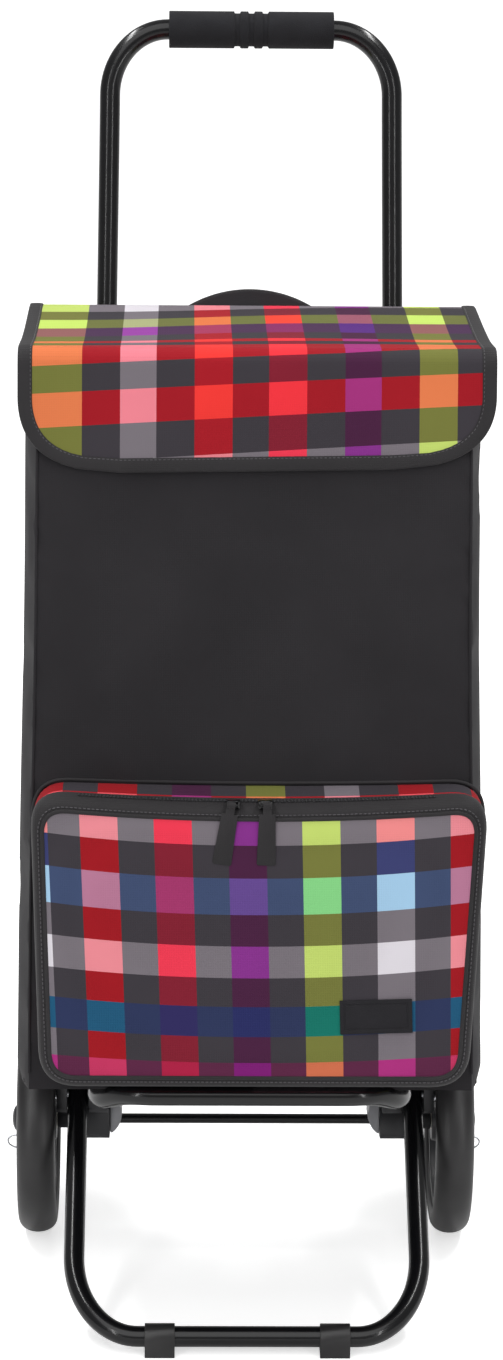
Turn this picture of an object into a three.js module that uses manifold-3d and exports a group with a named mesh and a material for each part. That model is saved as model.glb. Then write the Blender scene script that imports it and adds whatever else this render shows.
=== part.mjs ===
// A two-wheeled shopping trolley: a bent steel-tube frame with a foam grip, a folding front stand and
// a folding bag platform, and a soft bag with a lid flap and a zipped front pocket.
// Millimetres, +Z up, the front of the bag faces -Y, origin at the middle of the base.
//
// The frame leans back, so almost everything is drawn in a leaning group whose own axes are
// x = to the right, -y = forward from the plane of the two main legs, z = up along those legs,
// with z = 0 level with the wheel axle. Outlines are written as [forward, up] or [x, up] pairs.
import * as THREE from 'three';
import { mergeVertices } from 'three/addons/utils/BufferGeometryUtils.js';
import Module from 'manifold-3d';

const wasm = await Module();
wasm.setup();

// ---------------------------------------------------------------- driving dimensions
const LEAN = THREE.MathUtils.degToRad(12); // how far the standing frame leans back
const FIT = 0.3; // gap kept between pieces that touch

const WHEEL = { radius: 92, width: 30, middle: 167, rimRadius: 73.6, hubRadius: 17, webHalf: 4 };
const AXLE = { radius: 4, behindLegs: 29, half: 184 };
const TUBE = { radius: 8, wall: 1.2, sides: 12 };

const HANDLE = { height: 877, legTop: 111.5, legFoot: 121.5, bendAcross: 46, bendAlong: 52, below: 3 };
const GRIP = { wall: 6.5, half: 65, neck: 1.6, ring: 6.5, gap: 4.6 };

const BLOCK = {
  low: 16, aboveBase: 12, inner: 98, waist: 110, outer: 151, back: 13, front: 33, step: 46, edge: 3,
};
const SLOT_GAP = 0.8; // beside and behind a folding tube in its slot
const PIN_GAP = 0.4; // round a pin in its hole
const SHOE = { inner: 109, outer: 132, low: -9, high: 15.5, front: 12, behindAxle: 10, edge: 4 };
const CHEEK = { low: -5, high: 24.5, wide: 9.5, back: -22, front: 9 };
const HUB = { inner: -14.5, outer: 8.8, bushRadius: 8 };
const WINDOWS = { count: 6, halfInner: 6, halfOuter: 17, margin: 8 };
const CAP = { base: 179.3, top: 188.5, radius: 12 };
const CLIP = { wire: 0.7, behindCap: 1.2, above: 6 };
const STAND_PIVOT = { forward: 22, up: 30, pin: 3 };
const STAND = { length: 229, legX: 134, bendAcross: 50, bendAlong: 73, sleeveAt: 67, sleeveWide: 23 };
const SLEEVE = { wall: 2.2, soleBelowTube: 6 };
const PLATFORM_PIVOT = { forward: 24, pin: 2.5 };
const PLATFORM = { front: 260, legX: 114, bend: 45 };
const PAST_PIVOT = 6; // how far a folding tube runs on behind its pin

const BAG = { back: 13, depth: 236, tyreGap: 2.33, frontTop: 620, backTop: 653, wide: 351, wideTop: 339 };
const BAG_WALL = 2.5;
const BAG_ROUND = { back: 22, front: 10 };
const BOARD = { thick: 3, margin: 3 };
const FLAP = { back: 660, fold: 627, thick: 3, half: 174.5, overhang: 2.5, drop: 90, round: 54 };
const TAB = { radius: 95, top: 672, low: 604, thick: 3 };
const STRAP = { wall: 2.2, tall: 28, low: 140, high: 590, clear: 1.2 };
const GRIPPER = { half: 40, tall: 25, up: 548, thick: 0.8 };

const POCKET = { aboveBase: 10, high: 300, topHalf: 164, lowHalf: 155, deep: 46, wall: 2.5, round: 27 };
const ZIP = { half: 131, wide: 13, behindFront: 5.5, thick: 1.6, meet: -2 };
const SLIDER = { wide: 10, deep: 15, tall: 5, apart: 15, ear: 1.5, earPastPin: 1.8 };
const PULLER = { wide: 14, long: 44, thick: 2.4, eye: 2.6, pin: 1, neck: 5, beforePocket: 1, beside: 0.3 };
const LABEL = { wide: 53, tall: 25, thick: 1.5, x: 93.5, up: 140, tilt: 0.03 };

// sizes that follow from those
const CORNER = BAG_ROUND.back / 4; // how far the middle of the bag's lower back corner is pulled in
const CORNER_BEFORE_AXLE = AXLE.behindLegs + BAG.back + CORNER;
const BAG_LOW = Math.sqrt((WHEEL.radius + BAG.tyreGap) ** 2 - CORNER_BEFORE_AXLE ** 2) - CORNER;
const BLOCK_HIGH = BAG_LOW + BLOCK.aboveBase;
const POCKET_LOW = BAG_LOW + POCKET.aboveBase;
const GRIP_RADIUS = TUBE.radius + GRIP.wall;
const SLEEVE_RADIUS = TUBE.radius + SLEEVE.wall;
const SOLE = TUBE.radius + SLEEVE.soleBelowTube;
const PLATFORM_UP = BAG_LOW - TUBE.radius - 1;
const BAG_FRONT = BAG.back + BAG.depth;
const POCKET_BACK = BAG_FRONT + 0.5;
const POCKET_FRONT = POCKET_BACK + POCKET.deep;
const ZIP_MIDDLE = POCKET_FRONT - ZIP.behindFront - ZIP.wide / 2;
const TUBE_SWING = Math.hypot(PAST_PIVOT, TUBE.radius) + SLOT_GAP; // room round a pin for a tube's end
const PIN_FORWARD = POCKET_FRONT + PULLER.beforePocket + PULLER.thick / 2;
const PIN_UP = POCKET.high + SLIDER.tall / 2;

// ---------------------------------------------------------------- finishes
const FINISH = {
  steel: { color: 0x17171a, roughness: 0.22, metalness: 0.2 },
  foam: { color: 0x1f1f22, roughness: 0.9, metalness: 0 },
  plastic: { color: 0x242428, roughness: 0.5, metalness: 0 },
  greyPlastic: { color: 0x8d8d90, roughness: 0.55, metalness: 0 },
  rubber: { color: 0x29282a, roughness: 0.7, metalness: 0 },
  zinc: { color: 0xa8a9ad, roughness: 0.3, metalness: 1 },
  bushing: { color: 0xd8d4c8, roughness: 0.5, metalness: 0 },
  polyester: { color: 0x262327, roughness: 0.85, metalness: 0 },
  check: { color: 0x9b2440, roughness: 0.85, metalness: 0 },
  board: { color: 0x3a3a3c, roughness: 0.8, metalness: 0 },
  webbing: { color: 0x1c1c1f, roughness: 0.85, metalness: 0 },
  leather: { color: 0x232024, roughness: 0.6, metalness: 0 },
};

// ---------------------------------------------------------------- solids and booleans
function toSolid(geometry) {
  const bare = geometry.index ? geometry.toNonIndexed() : geometry.clone();
  bare.deleteAttribute('normal');
  bare.deleteAttribute('uv');
  const merged = mergeVertices(bare, 1e-4);
  return new wasm.Manifold(new wasm.Mesh({
    numProp: 3,
    vertProperties: new Float32Array(merged.attributes.position.array),
    triVerts: new Uint32Array(merged.index.array),
  }));
}

function toGeometry(solid) {
  const { vertProperties, triVerts } = solid.getMesh();
  const geometry = new THREE.BufferGeometry();
  geometry.setAttribute('position', new THREE.BufferAttribute(vertProperties, 3));
  geometry.setIndex(new THREE.BufferAttribute(triVerts, 1));
  return geometry;
}

function cut(base, ...tools) {
  return toGeometry(tools.reduce((left, tool) => left.subtract(toSolid(tool)), toSolid(base)));
}

function common(first, second) {
  return toGeometry(toSolid(first).intersect(toSolid(second)));
}

function join(first, ...others) {
  return toGeometry(others.reduce((sum, other) => sum.add(toSolid(other)), toSolid(first)));
}

// ---------------------------------------------------------------- drawing helpers
function outline(points) {
  return new THREE.Shape(points.map(([u, v]) => new THREE.Vector2(u, v)));
}

const EXTRUDE = { bevelEnabled: false, curveSegments: 5 };

// An [x, up] outline, extruded forward between two distances from the plane of the legs.
function facing(shape, back, front) {
  return new THREE.ExtrudeGeometry(shape, { ...EXTRUDE, depth: front - back })
    .rotateX(Math.PI / 2)
    .translate(0, -back, 0);
}

// A [forward, up] outline, extruded from x = left to x = right.
function across(shape, left, right) {
  const turn = new THREE.Matrix4().set(0, 0, -1, 0, -1, 0, 0, 0, 0, 1, 0, 0, 0, 0, 0, 1);
  return new THREE.ExtrudeGeometry(shape, { ...EXTRUDE, depth: right - left })
    .applyMatrix4(turn)
    .translate(right, 0, 0);
}

function block(left, right, back, front, low, high) {
  return new THREE.BoxGeometry(right - left, front - back, high - low)
    .translate((left + right) / 2, -(back + front) / 2, (low + high) / 2);
}

// A round bar along x.
function bar(radius, left, right, forward, up, sides = 12) {
  return new THREE.CylinderGeometry(radius, radius, right - left, sides)
    .rotateZ(Math.PI / 2)
    .translate((left + right) / 2, -forward, up);
}

// A closed [radius, x] profile turned about the x axis.
function turned(profile, segments) {
  const points = [...profile, profile[0]].map(([radius, x]) => new THREE.Vector2(radius, x));
  return new THREE.LatheGeometry(points, segments).rotateZ(-Math.PI / 2);
}

// A profile that starts and ends on the axis, turned about the x axis.
function turnedOnAxis(profile, segments) {
  const points = profile.map(([radius, x]) => new THREE.Vector2(radius, x));
  return new THREE.LatheGeometry(points, segments).rotateZ(-Math.PI / 2);
}

// A tube route made of straight runs and bends, with its own number of steps on each.
class Route extends THREE.Curve {
  constructor(runs) {
    super();
    this.runs = runs;
    this.steps = runs.reduce((sum, run) => sum + run.steps, 0);
  }

  getUtoTmapping(u) {
    return u;
  }

  getPoint(t, target = new THREE.Vector3()) {
    let left = t * this.steps;
    for (const run of this.runs) {
      if (left <= run.steps || run === this.runs.at(-1)) return target.copy(run.at(left / run.steps));
      left -= run.steps;
    }
    return target;
  }
}

const BEND_STEPS = 7;

// A U of tube in its own plane: two legs with their open ends at x = +-footX, u = 0, and a crossbar at
// u = reach. place(x, u) puts a point of that plane in space.
function uRoute({ footX, topX, reach, bendAcross, bendAlong, place }) {
  const bendStart = reach - bendAlong;
  const straight = (from, to) => ({ steps: 1, at: (k) => place(...from.map((v, i) => v + (to[i] - v) * k)) });
  const bend = (side, startAngle, endAngle) => ({
    steps: BEND_STEPS,
    at: (k) => {
      const angle = startAngle + (endAngle - startAngle) * k;
      const x = topX - bendAcross + bendAcross * Math.cos(angle);
      return place(side * x, bendStart + bendAlong * Math.sin(angle));
    },
  });
  const quarter = Math.PI / 2;
  return new Route([
    straight([-footX, 0], [-topX, bendStart]),
    bend(-1, 0, quarter),
    straight([bendAcross - topX, reach], [topX - bendAcross, reach]),
    bend(1, quarter, 0),
    straight([topX, bendStart], [footX, 0]),
  ]);
}

function tubeAlong(route, radius = TUBE.radius, wall = TUBE.wall, sides = TUBE.sides) {
  const section = new THREE.Shape();
  section.absarc(0, 0, radius, 0, 2 * Math.PI);
  if (wall) section.holes.push(new THREE.Path().absarc(0, 0, radius - wall, 0, 2 * Math.PI, true));
  return new THREE.ExtrudeGeometry(section, {
    extrudePath: route, steps: route.steps, curveSegments: sides / 2, bevelEnabled: false,
  });
}

// ---------------------------------------------------------------- the scene graph
const trolley = new THREE.Group();
const leaning = new THREE.Group();
leaning.rotation.x = -LEAN;
const axleInLean = new THREE.Vector3(0, AXLE.behindLegs, 0).applyAxisAngle(new THREE.Vector3(1, 0, 0), -LEAN);
leaning.position.set(0, -axleInLean.y, WHEEL.radius - axleInLean.z);
trolley.add(leaning);

function add(parent, name, finish, geometry) {
  const mesh = new THREE.Mesh(geometry, new THREE.MeshStandardMaterial(FINISH[finish]));
  mesh.name = name;
  parent.add(mesh);
  return mesh;
}

// The same piece on both sides; it is drawn for the right side (+x) and mirrored for the left.
function addPair(parent, name, finish, geometry) {
  add(parent, `${name}_right`, finish, geometry);
  add(parent, `${name}_left`, finish, geometry.clone()).scale.x = -1;
}

// Middle of a main leg at a height above the axle.
function legX(up) {
  return HANDLE.legFoot + (HANDLE.legTop - HANDLE.legFoot) * up / (HANDLE.height - HANDLE.bendAlong);
}

// A straight bar lying along a main leg, used to bore the pieces that the leg passes through.
function legBore(radius, low, high) {
  const bottom = new THREE.Vector3(legX(low), 0, low);
  const top = new THREE.Vector3(legX(high), 0, high);
  const along = top.clone().sub(bottom);
  const direction = along.clone().normalize();
  const turn = new THREE.Quaternion().setFromUnitVectors(new THREE.Vector3(0, 1, 0), direction);
  return new THREE.CylinderGeometry(radius, radius, along.length(), 16)
    .applyQuaternion(turn)
    .translate(...bottom.add(top).multiplyScalar(0.5).toArray());
}

const BORE = (TUBE.radius + FIT) / Math.cos(Math.PI / 16); // 16-sided hole that clears a tube

// ---------------------------------------------------------------- main frame
function handleFrame() {
  return tubeAlong(uRoute({
    footX: legX(-HANDLE.below),
    topX: HANDLE.legTop,
    reach: HANDLE.height + HANDLE.below,
    bendAcross: HANDLE.bendAcross,
    bendAlong: HANDLE.bendAlong,
    place: (x, u) => new THREE.Vector3(x, 0, u - HANDLE.below),
  }));
}

// Foam sleeve with two raised rings in the middle, each with a groove on both sides.
function foamGrip() {
  const bore = TUBE.radius + FIT;
  const grooved = GRIP_RADIUS - GRIP.neck;
  const ringEdges = [GRIP.gap / 2, GRIP.gap / 2 + GRIP.ring];
  const bodyEdge = ringEdges[1] + GRIP.gap;
  const half = [
    [grooved, 0], [grooved, ringEdges[0]], [GRIP_RADIUS, ringEdges[0]], [GRIP_RADIUS, ringEdges[1]],
    [grooved, ringEdges[1]], [grooved, bodyEdge], [GRIP_RADIUS, bodyEdge],
    [GRIP_RADIUS, GRIP.half - 2], [GRIP_RADIUS - 2, GRIP.half], [bore, GRIP.half],
  ];
  const mirrored = half.slice(1).reverse().map(([radius, x]) => [radius, -x]);
  return turned([...mirrored, ...half], 20).translate(0, 0, HANDLE.height);
}

// Moulded joint that clamps a main leg and carries the stand's and the platform's pivots.
function jointBlock() {
  const fromFront = facing(outline([
    [BLOCK.waist, BLOCK.low], [BLOCK.outer, BLOCK.low], [BLOCK.outer, BLOCK_HIGH - BLOCK.edge],
    [BLOCK.outer - BLOCK.edge, BLOCK_HIGH], [BLOCK.inner + BLOCK.edge, BLOCK_HIGH],
    [BLOCK.inner, BLOCK_HIGH - BLOCK.edge], [BLOCK.inner, BLOCK.step + 2 * BLOCK.edge],
    [BLOCK.waist, BLOCK.step],
  ]), -BLOCK.back, BLOCK.front);
  const underBag = BAG_LOW - 1;
  const behindBag = BAG.back - 1;
  const fromSide = across(outline([
    [-BLOCK.back, BLOCK.low + BLOCK.edge], [-BLOCK.back + BLOCK.edge, BLOCK.low],
    [BLOCK.front - BLOCK.edge, BLOCK.low], [BLOCK.front, BLOCK.low + BLOCK.edge],
    [BLOCK.front, underBag - BLOCK.edge], [BLOCK.front - BLOCK.edge, underBag],
    [behindBag, underBag], [behindBag, BLOCK_HIGH], [-BLOCK.back, BLOCK_HIGH],
  ]), BLOCK.inner - 1, BLOCK.outer + 1);
  const body = common(fromFront, fromSide);
  const slot = TUBE.radius + SLOT_GAP;
  const beyond = 5;
  return cut(
    body,
    legBore(BORE, BLOCK.low - beyond, BLOCK_HIGH + beyond),
    block(STAND.legX - slot, STAND.legX + slot,
      STAND_PIVOT.forward - TUBE_SWING, BLOCK.front + beyond, BLOCK.low - beyond, BLOCK_HIGH + beyond),
    block(PLATFORM.legX - slot, PLATFORM.legX + slot,
      PLATFORM_PIVOT.forward - TUBE_SWING, BLOCK.front + beyond,
      PLATFORM_UP - TUBE_SWING, BLOCK_HIGH + beyond),
    pinBore(STAND_PIVOT, STAND_PIVOT.up, standPinEnds()),
    pinBore(PLATFORM_PIVOT, PLATFORM_UP, platformPinEnds()),
  );
}

function standPinEnds() {
  const intoWall = 7;
  return [STAND.legX - TUBE.radius - intoWall, BLOCK.outer - 1];
}

function platformPinEnds() {
  const intoWall = 2.6;
  return [BLOCK.inner + 1, PLATFORM.legX + TUBE.radius + intoWall];
}

function pinBore(pivot, up, [left, right]) {
  return bar(pivot.pin + PIN_GAP, left - FIT, right + 2, pivot.forward, up);
}

function pin(pivot, up, [left, right]) {
  return bar(pivot.pin, left, right, pivot.forward, up);
}

// Plastic shoe on the foot of a main leg; it reaches back and holds the axle.
function axleShoe() {
  const back = AXLE.behindLegs + SHOE.behindAxle;
  const side = across(outline([
    [-back, SHOE.low + SHOE.edge], [-back + SHOE.edge, SHOE.low], [SHOE.front - SHOE.edge, SHOE.low],
    [SHOE.front, SHOE.low + SHOE.edge], [SHOE.front, SHOE.high],
    [-AXLE.behindLegs + 3 * SHOE.edge, SHOE.high], [-back, SHOE.high - SHOE.edge],
  ]), SHOE.inner, SHOE.outer);
  return cut(
    side,
    legBore(BORE, -HANDLE.below - 1, SHOE.high + SHOE.edge),
    bar(AXLE.radius + PIN_GAP, SHOE.inner - 2, SHOE.outer + 2, -AXLE.behindLegs, 0, 16),
  );
}

// Grey moulded cheek on the inner face of the shoe, pointed at its lower end.
function axleCheek() {
  const root = SHOE.inner - FIT;
  const tip = root - CHEEK.wide;
  const waist = (CHEEK.low + CHEEK.high) / 2;
  const shape = new THREE.Shape();
  shape.moveTo(root, CHEEK.low + 2);
  shape.lineTo(root, CHEEK.high);
  shape.quadraticCurveTo(tip, CHEEK.high - 2, tip, waist);
  shape.quadraticCurveTo(tip + 1, CHEEK.low + CHEEK.wide / 2, root - 1.2, CHEEK.low);
  return facing(shape, CHEEK.back, CHEEK.front);
}

// ---------------------------------------------------------------- wheels
function tyre() {
  const half = WHEEL.width / 2;
  return turned([
    [WHEEL.rimRadius, -half + 2], [WHEEL.radius - 8, -half], [WHEEL.radius - 2.5, -half + 3],
    [WHEEL.radius, -half + 9], [WHEEL.radius, half - 9], [WHEEL.radius - 2.5, half - 3],
    [WHEEL.radius - 8, half], [WHEEL.rimRadius, half - 2],
  ], 40);
}

// Moulded wheel body: a rim, a web with six windows and a hub.
function wheelRim() {
  const seat = WHEEL.rimRadius - FIT;
  const lip = seat - 9;
  const web = WHEEL.webHalf;
  const bore = HUB.bushRadius + FIT;
  const body = turned([
    [bore, HUB.inner], [WHEEL.hubRadius, HUB.inner], [WHEEL.hubRadius + 2, -web], [lip - 2, -web],
    [lip, 3 - WHEEL.width / 2], [seat, 3 - WHEEL.width / 2], [seat, WHEEL.width / 2 - 3],
    [lip, WHEEL.width / 2 - 3], [lip - 2, web], [WHEEL.hubRadius + 2, web],
    [WHEEL.hubRadius, HUB.outer], [bore, HUB.outer],
  ], 36);
  const low = WHEEL.hubRadius + WINDOWS.margin;
  const high = lip - WINDOWS.margin;
  const { halfInner, halfOuter } = WINDOWS;
  const wedge = across(outline([
    [-halfInner, low], [halfInner, low], [halfOuter, high], [-halfOuter, high],
  ]), -web - 2, web + 2);
  const cutters = [];
  for (let i = 0; i < WINDOWS.count; i += 1) {
    cutters.push(wedge.clone().rotateX((2 * Math.PI * i) / WINDOWS.count));
  }
  return cut(body, ...cutters);
}

function wheelBush() {
  const bore = AXLE.radius + 0.2;
  return turned([
    [bore, HUB.inner - 0.2], [HUB.bushRadius, HUB.inner - 0.2],
    [HUB.bushRadius, HUB.outer + 0.2], [bore, HUB.outer + 0.2],
  ], 20);
}

function axleSpacer() {
  const bore = AXLE.radius + 0.3;
  return turned([
    [bore, SHOE.outer + FIT], [8, SHOE.outer + FIT],
    [8, WHEEL.middle + HUB.inner - 0.6], [bore, WHEEL.middle + HUB.inner - 0.6],
  ], 16);
}

// Domed push-on cap that keeps the wheel on the axle.
function axleCap() {
  return turnedOnAxis([
    [0, AXLE.half + FIT], [AXLE.radius + 0.2, AXLE.half + FIT], [AXLE.radius + 0.2, CAP.base],
    [CAP.radius, CAP.base], [CAP.radius, CAP.base + 2.5], [CAP.radius - 4, CAP.top - 1.5], [0, CAP.top],
  ], 20);
}

// Sprung wire that hooks the cap: a straight part behind the cap and an open loop below it.
function wheelClip() {
  const beside = AXLE.radius + CLIP.wire + FIT;
  const points = [
    [0, CLIP.above], [0, -11], [5, -14.5], [12.5, -16.5], [14.5, -20], [10.5, -24.5], [3, -25.5],
  ].map(([x, up]) => new THREE.Vector3(CAP.base - CLIP.behindCap + x, beside, up));
  return new THREE.ExtrudeGeometry(new THREE.Shape().absarc(0, 0, CLIP.wire, 0, 2 * Math.PI), {
    extrudePath: new THREE.CatmullRomCurve3(points), steps: 16, curveSegments: 3, bevelEnabled: false,
  });
}

// ---------------------------------------------------------------- stand and platform
// The stand is drawn along +y from its pivot, then turned down until its soles reach the floor.
function standFrame() {
  const tube = tubeAlong(uRoute({
    footX: STAND.legX,
    topX: STAND.legX,
    reach: STAND.length + PAST_PIVOT,
    bendAcross: STAND.bendAcross,
    bendAlong: STAND.bendAlong,
    place: (x, u) => new THREE.Vector3(x, -(u - PAST_PIVOT), 0),
  }));
  return cut(tube, bar(STAND_PIVOT.pin + PIN_GAP, -BLOCK.outer, BLOCK.outer, 0, 0));
}

// Rubber sleeve on the crossbar with a flat sole.
function standSleeve(x) {
  const left = x - STAND.sleeveWide / 2;
  const right = x + STAND.sleeveWide / 2;
  const shape = new THREE.Shape();
  shape.absarc(0, 0, SLEEVE_RADIUS, 0, Math.PI);
  shape.lineTo(-SLEEVE_RADIUS + 1, -SOLE);
  shape.lineTo(SLEEVE_RADIUS - 1, -SOLE);
  return cut(across(shape, left, right), bar(BORE, left - 1, right + 1, 0, 0, 16));
}

function platformFrame() {
  const reach = PLATFORM.front - PLATFORM_PIVOT.forward + PAST_PIVOT;
  const tube = tubeAlong(uRoute({
    footX: PLATFORM.legX,
    topX: PLATFORM.legX,
    reach,
    bendAcross: PLATFORM.bend,
    bendAlong: PLATFORM.bend,
    place: (x, u) => new THREE.Vector3(x, PAST_PIVOT - u - PLATFORM_PIVOT.forward, PLATFORM_UP),
  }));
  const pinHole = PLATFORM_PIVOT.pin + PIN_GAP;
  return cut(tube, bar(pinHole, -BLOCK.outer, BLOCK.outer, PLATFORM_PIVOT.forward, PLATFORM_UP));
}

// ---------------------------------------------------------------- bag
// Side outline of the bag body, pulled in by a margin; the mouth stays open when it runs past the rim.
function bagSide(inset, rimRise) {
  const back = BAG.back + inset;
  const front = BAG_FRONT - inset;
  const low = BAG_LOW + inset;
  const shape = new THREE.Shape();
  shape.moveTo(back, BAG.backTop + rimRise);
  shape.lineTo(back, low + BAG_ROUND.back);
  shape.quadraticCurveTo(back, low, back + BAG_ROUND.back, low);
  shape.lineTo(front - BAG_ROUND.front, low);
  shape.quadraticCurveTo(front, low, front, low + BAG_ROUND.front);
  shape.lineTo(front, BAG.frontTop + rimRise);
  return shape;
}

// Narrows a bag piece evenly from the base towards the top.
function tapered(geometry) {
  const position = geometry.attributes.position;
  for (let i = 0; i < position.count; i += 1) {
    const share = (position.getZ(i) - BAG_LOW) / (BAG.backTop - BAG_LOW);
    position.setX(i, position.getX(i) * (1 + (BAG.wideTop / BAG.wide - 1) * share));
  }
  return geometry;
}

function bagBody() {
  const half = BAG.wide / 2;
  return cut(
    tapered(across(bagSide(0, 0), -half, half)),
    tapered(across(bagSide(BAG_WALL, 20), -half + BAG_WALL, half - BAG_WALL)),
  );
}

function baseBoard() {
  const low = BAG_LOW + BAG_WALL + FIT;
  const half = BAG.wide / 2 - BAG_WALL - BOARD.margin;
  const back = BAG.back + BAG_WALL + BAG_ROUND.back;
  return block(-half, half, back, BAG_FRONT - BAG_WALL - BAG_ROUND.front, low, low + BOARD.thick);
}

function frontFlap() {
  const back = BAG.back + 2;
  const inside = BAG_FRONT + FLAP.overhang;
  const outside = inside + FLAP.thick;
  const roof = across(outline([
    [back, FLAP.back - FLAP.thick], [outside, FLAP.fold - FLAP.thick],
    [outside, FLAP.fold], [back, FLAP.back],
  ]), -FLAP.half, FLAP.half);
  const low = FLAP.fold - FLAP.drop;
  const apron = new THREE.Shape();
  apron.moveTo(-FLAP.half, FLAP.fold - 1);
  apron.lineTo(-FLAP.half, low + FLAP.round);
  apron.quadraticCurveTo(-FLAP.half, low, -FLAP.half + 1.4 * FLAP.round, low);
  apron.lineTo(FLAP.half - 1.4 * FLAP.round, low);
  apron.quadraticCurveTo(FLAP.half, low, FLAP.half, low + FLAP.round);
  apron.lineTo(FLAP.half, FLAP.fold - 1);
  return join(roof, facing(apron, inside, outside));
}

// Bound tab that stands up behind the lid, in the middle of the bag's back.
function hangingTab() {
  const middle = TAB.top - TAB.radius;
  const reach = Math.acos((TAB.low - middle) / TAB.radius);
  const shape = new THREE.Shape().absarc(0, middle, TAB.radius, Math.PI / 2 - reach, Math.PI / 2 + reach);
  const back = BAG.back - FIT - TAB.thick;
  return facing(shape, back, back + TAB.thick);
}

// Fabric loop on the bag's back that a main leg passes through.
function legStrap(up) {
  const hole = TUBE.radius + STRAP.clear;
  const front = BAG.back - FIT;
  const half = hole + STRAP.wall;
  const shape = new THREE.Shape();
  shape.moveTo(-half, -front);
  shape.lineTo(half, -front);
  shape.absarc(0, 0, half, 0, Math.PI);
  shape.holes.push(new THREE.Path().absarc(0, 0, hole, 0, 2 * Math.PI, true));
  return new THREE.ExtrudeGeometry(shape, { ...EXTRUDE, depth: STRAP.tall })
    .translate(legX(up + STRAP.tall / 2), 0, up);
}

// One half of the hook and loop fastener between the bag and the flap.
function fastener(back) {
  const { half, thick, up, tall } = GRIPPER;
  return block(-half, half, back, back + thick, up, up + tall);
}

// ---------------------------------------------------------------- front pocket
function pocketOutline(inset) {
  const top = POCKET.high - inset;
  const low = POCKET_LOW + inset;
  const topHalf = POCKET.topHalf - inset;
  const lowHalf = POCKET.lowHalf - inset;
  const round = POCKET.round - inset;
  const shape = new THREE.Shape();
  shape.moveTo(-lowHalf + round, low);
  shape.lineTo(lowHalf - round, low);
  shape.quadraticCurveTo(lowHalf, low, lowHalf, low + round);
  shape.lineTo(topHalf, top - round);
  shape.quadraticCurveTo(topHalf, top, topHalf - round, top);
  shape.lineTo(-topHalf + round, top);
  shape.quadraticCurveTo(-topHalf, top, -topHalf, top - round);
  shape.lineTo(-lowHalf, low + round);
  shape.quadraticCurveTo(-lowHalf, low, -lowHalf + round, low);
  return shape;
}

function frontPocket() {
  const mouth = ZIP.wide / 2 + FIT;
  return cut(
    facing(pocketOutline(0), POCKET_BACK, POCKET_FRONT),
    facing(pocketOutline(POCKET.wall), POCKET_BACK - 5, POCKET_FRONT - POCKET.wall),
    block(-ZIP.half - FIT, ZIP.half + FIT, ZIP_MIDDLE - mouth, ZIP_MIDDLE + mouth,
      POCKET.high - 2 * POCKET.wall, POCKET.high + POCKET.wall),
  );
}

function zipTape() {
  return block(-ZIP.half, ZIP.half, ZIP_MIDDLE - ZIP.wide / 2, ZIP_MIDDLE + ZIP.wide / 2,
    POCKET.high - ZIP.thick, POCKET.high);
}

// Slider body on the zip, with two ears that hold the puller's pin clear of the pocket's face.
function zipSlider(x) {
  const half = SLIDER.wide / 2;
  const low = POCKET.high + FIT;
  const high = low + SLIDER.tall;
  const clearOfEye = PIN_FORWARD - PULLER.eye - 2 * FIT;
  const shell = block(x - half, x + half, ZIP_MIDDLE - SLIDER.deep / 2, clearOfEye, low, high);
  const earFront = PIN_FORWARD + SLIDER.earPastPin;
  const ear = (left) => block(left, left + SLIDER.ear, ZIP_MIDDLE, earFront, low, high);
  return join(
    shell,
    ear(x - half),
    ear(x + half - SLIDER.ear),
    bar(PULLER.pin, x - half + 0.5, x + half - 0.5, PIN_FORWARD, PIN_UP),
  );
}

function zipPuller(x) {
  const half = SLIDER.wide / 2 - SLIDER.ear - PULLER.beside;
  const back = PIN_FORWARD - PULLER.thick / 2;
  const low = PIN_UP - PULLER.long;
  const shoulder = PIN_UP - PULLER.eye - PULLER.neck;
  const wide = PULLER.wide / 2;
  const body = join(
    bar(PULLER.eye, x - half, x + half, PIN_FORWARD, PIN_UP, 12),
    block(x - half, x + half, back, back + PULLER.thick, shoulder, PIN_UP - PULLER.pin - PIN_GAP),
    facing(outline([
      [x - wide + 1, low], [x + wide - 1, low], [x + wide, low + 1],
      [x + wide - 1, shoulder + 1], [x - wide + 1, shoulder + 1], [x - wide, low + 1],
    ]), back, back + PULLER.thick),
  );
  return cut(body, bar(PULLER.pin + PIN_GAP, x - half - 1, x + half + 1, PIN_FORWARD, PIN_UP, 10));
}

function labelPatch() {
  const back = POCKET_FRONT + FIT;
  return new THREE.BoxGeometry(LABEL.wide, LABEL.thick, LABEL.tall)
    .rotateY(-LABEL.tilt)
    .translate(LABEL.x, -back - LABEL.thick / 2, LABEL.up);
}

// ---------------------------------------------------------------- assembly
const axleLine = new THREE.Group();
axleLine.position.y = AXLE.behindLegs;
leaning.add(axleLine);

add(leaning, 'handle_frame', 'steel', handleFrame());
add(leaning, 'foam_grip', 'foam', foamGrip());
addPair(leaning, 'joint_block', 'plastic', jointBlock());
addPair(leaning, 'axle_shoe', 'plastic', axleShoe());
addPair(leaning, 'axle_cheek', 'greyPlastic', axleCheek());
addPair(leaning, 'stand_pin', 'zinc', pin(STAND_PIVOT, STAND_PIVOT.up, standPinEnds()));
addPair(leaning, 'platform_pin', 'zinc', pin(PLATFORM_PIVOT, PLATFORM_UP, platformPinEnds()));

add(axleLine, 'axle_rod', 'steel', bar(AXLE.radius, -AXLE.half, AXLE.half, 0, 0, 20));
addPair(axleLine, 'axle_spacer', 'plastic', axleSpacer());
addPair(axleLine, 'axle_cap', 'plastic', axleCap());
addPair(axleLine, 'wheel_clip', 'zinc', wheelClip());
// The wheels are turned back by the lean, so that a corner of each tyre's outline meets the floor.
function addWheelPart(name, finish, geometry) {
  addPair(axleLine, name, finish, geometry.rotateX(LEAN).translate(WHEEL.middle, 0, 0));
}
addWheelPart('wheel_tyre', 'rubber', tyre());
addWheelPart('wheel_rim', 'plastic', wheelRim());
addWheelPart('wheel_bush', 'bushing', wheelBush());

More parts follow.
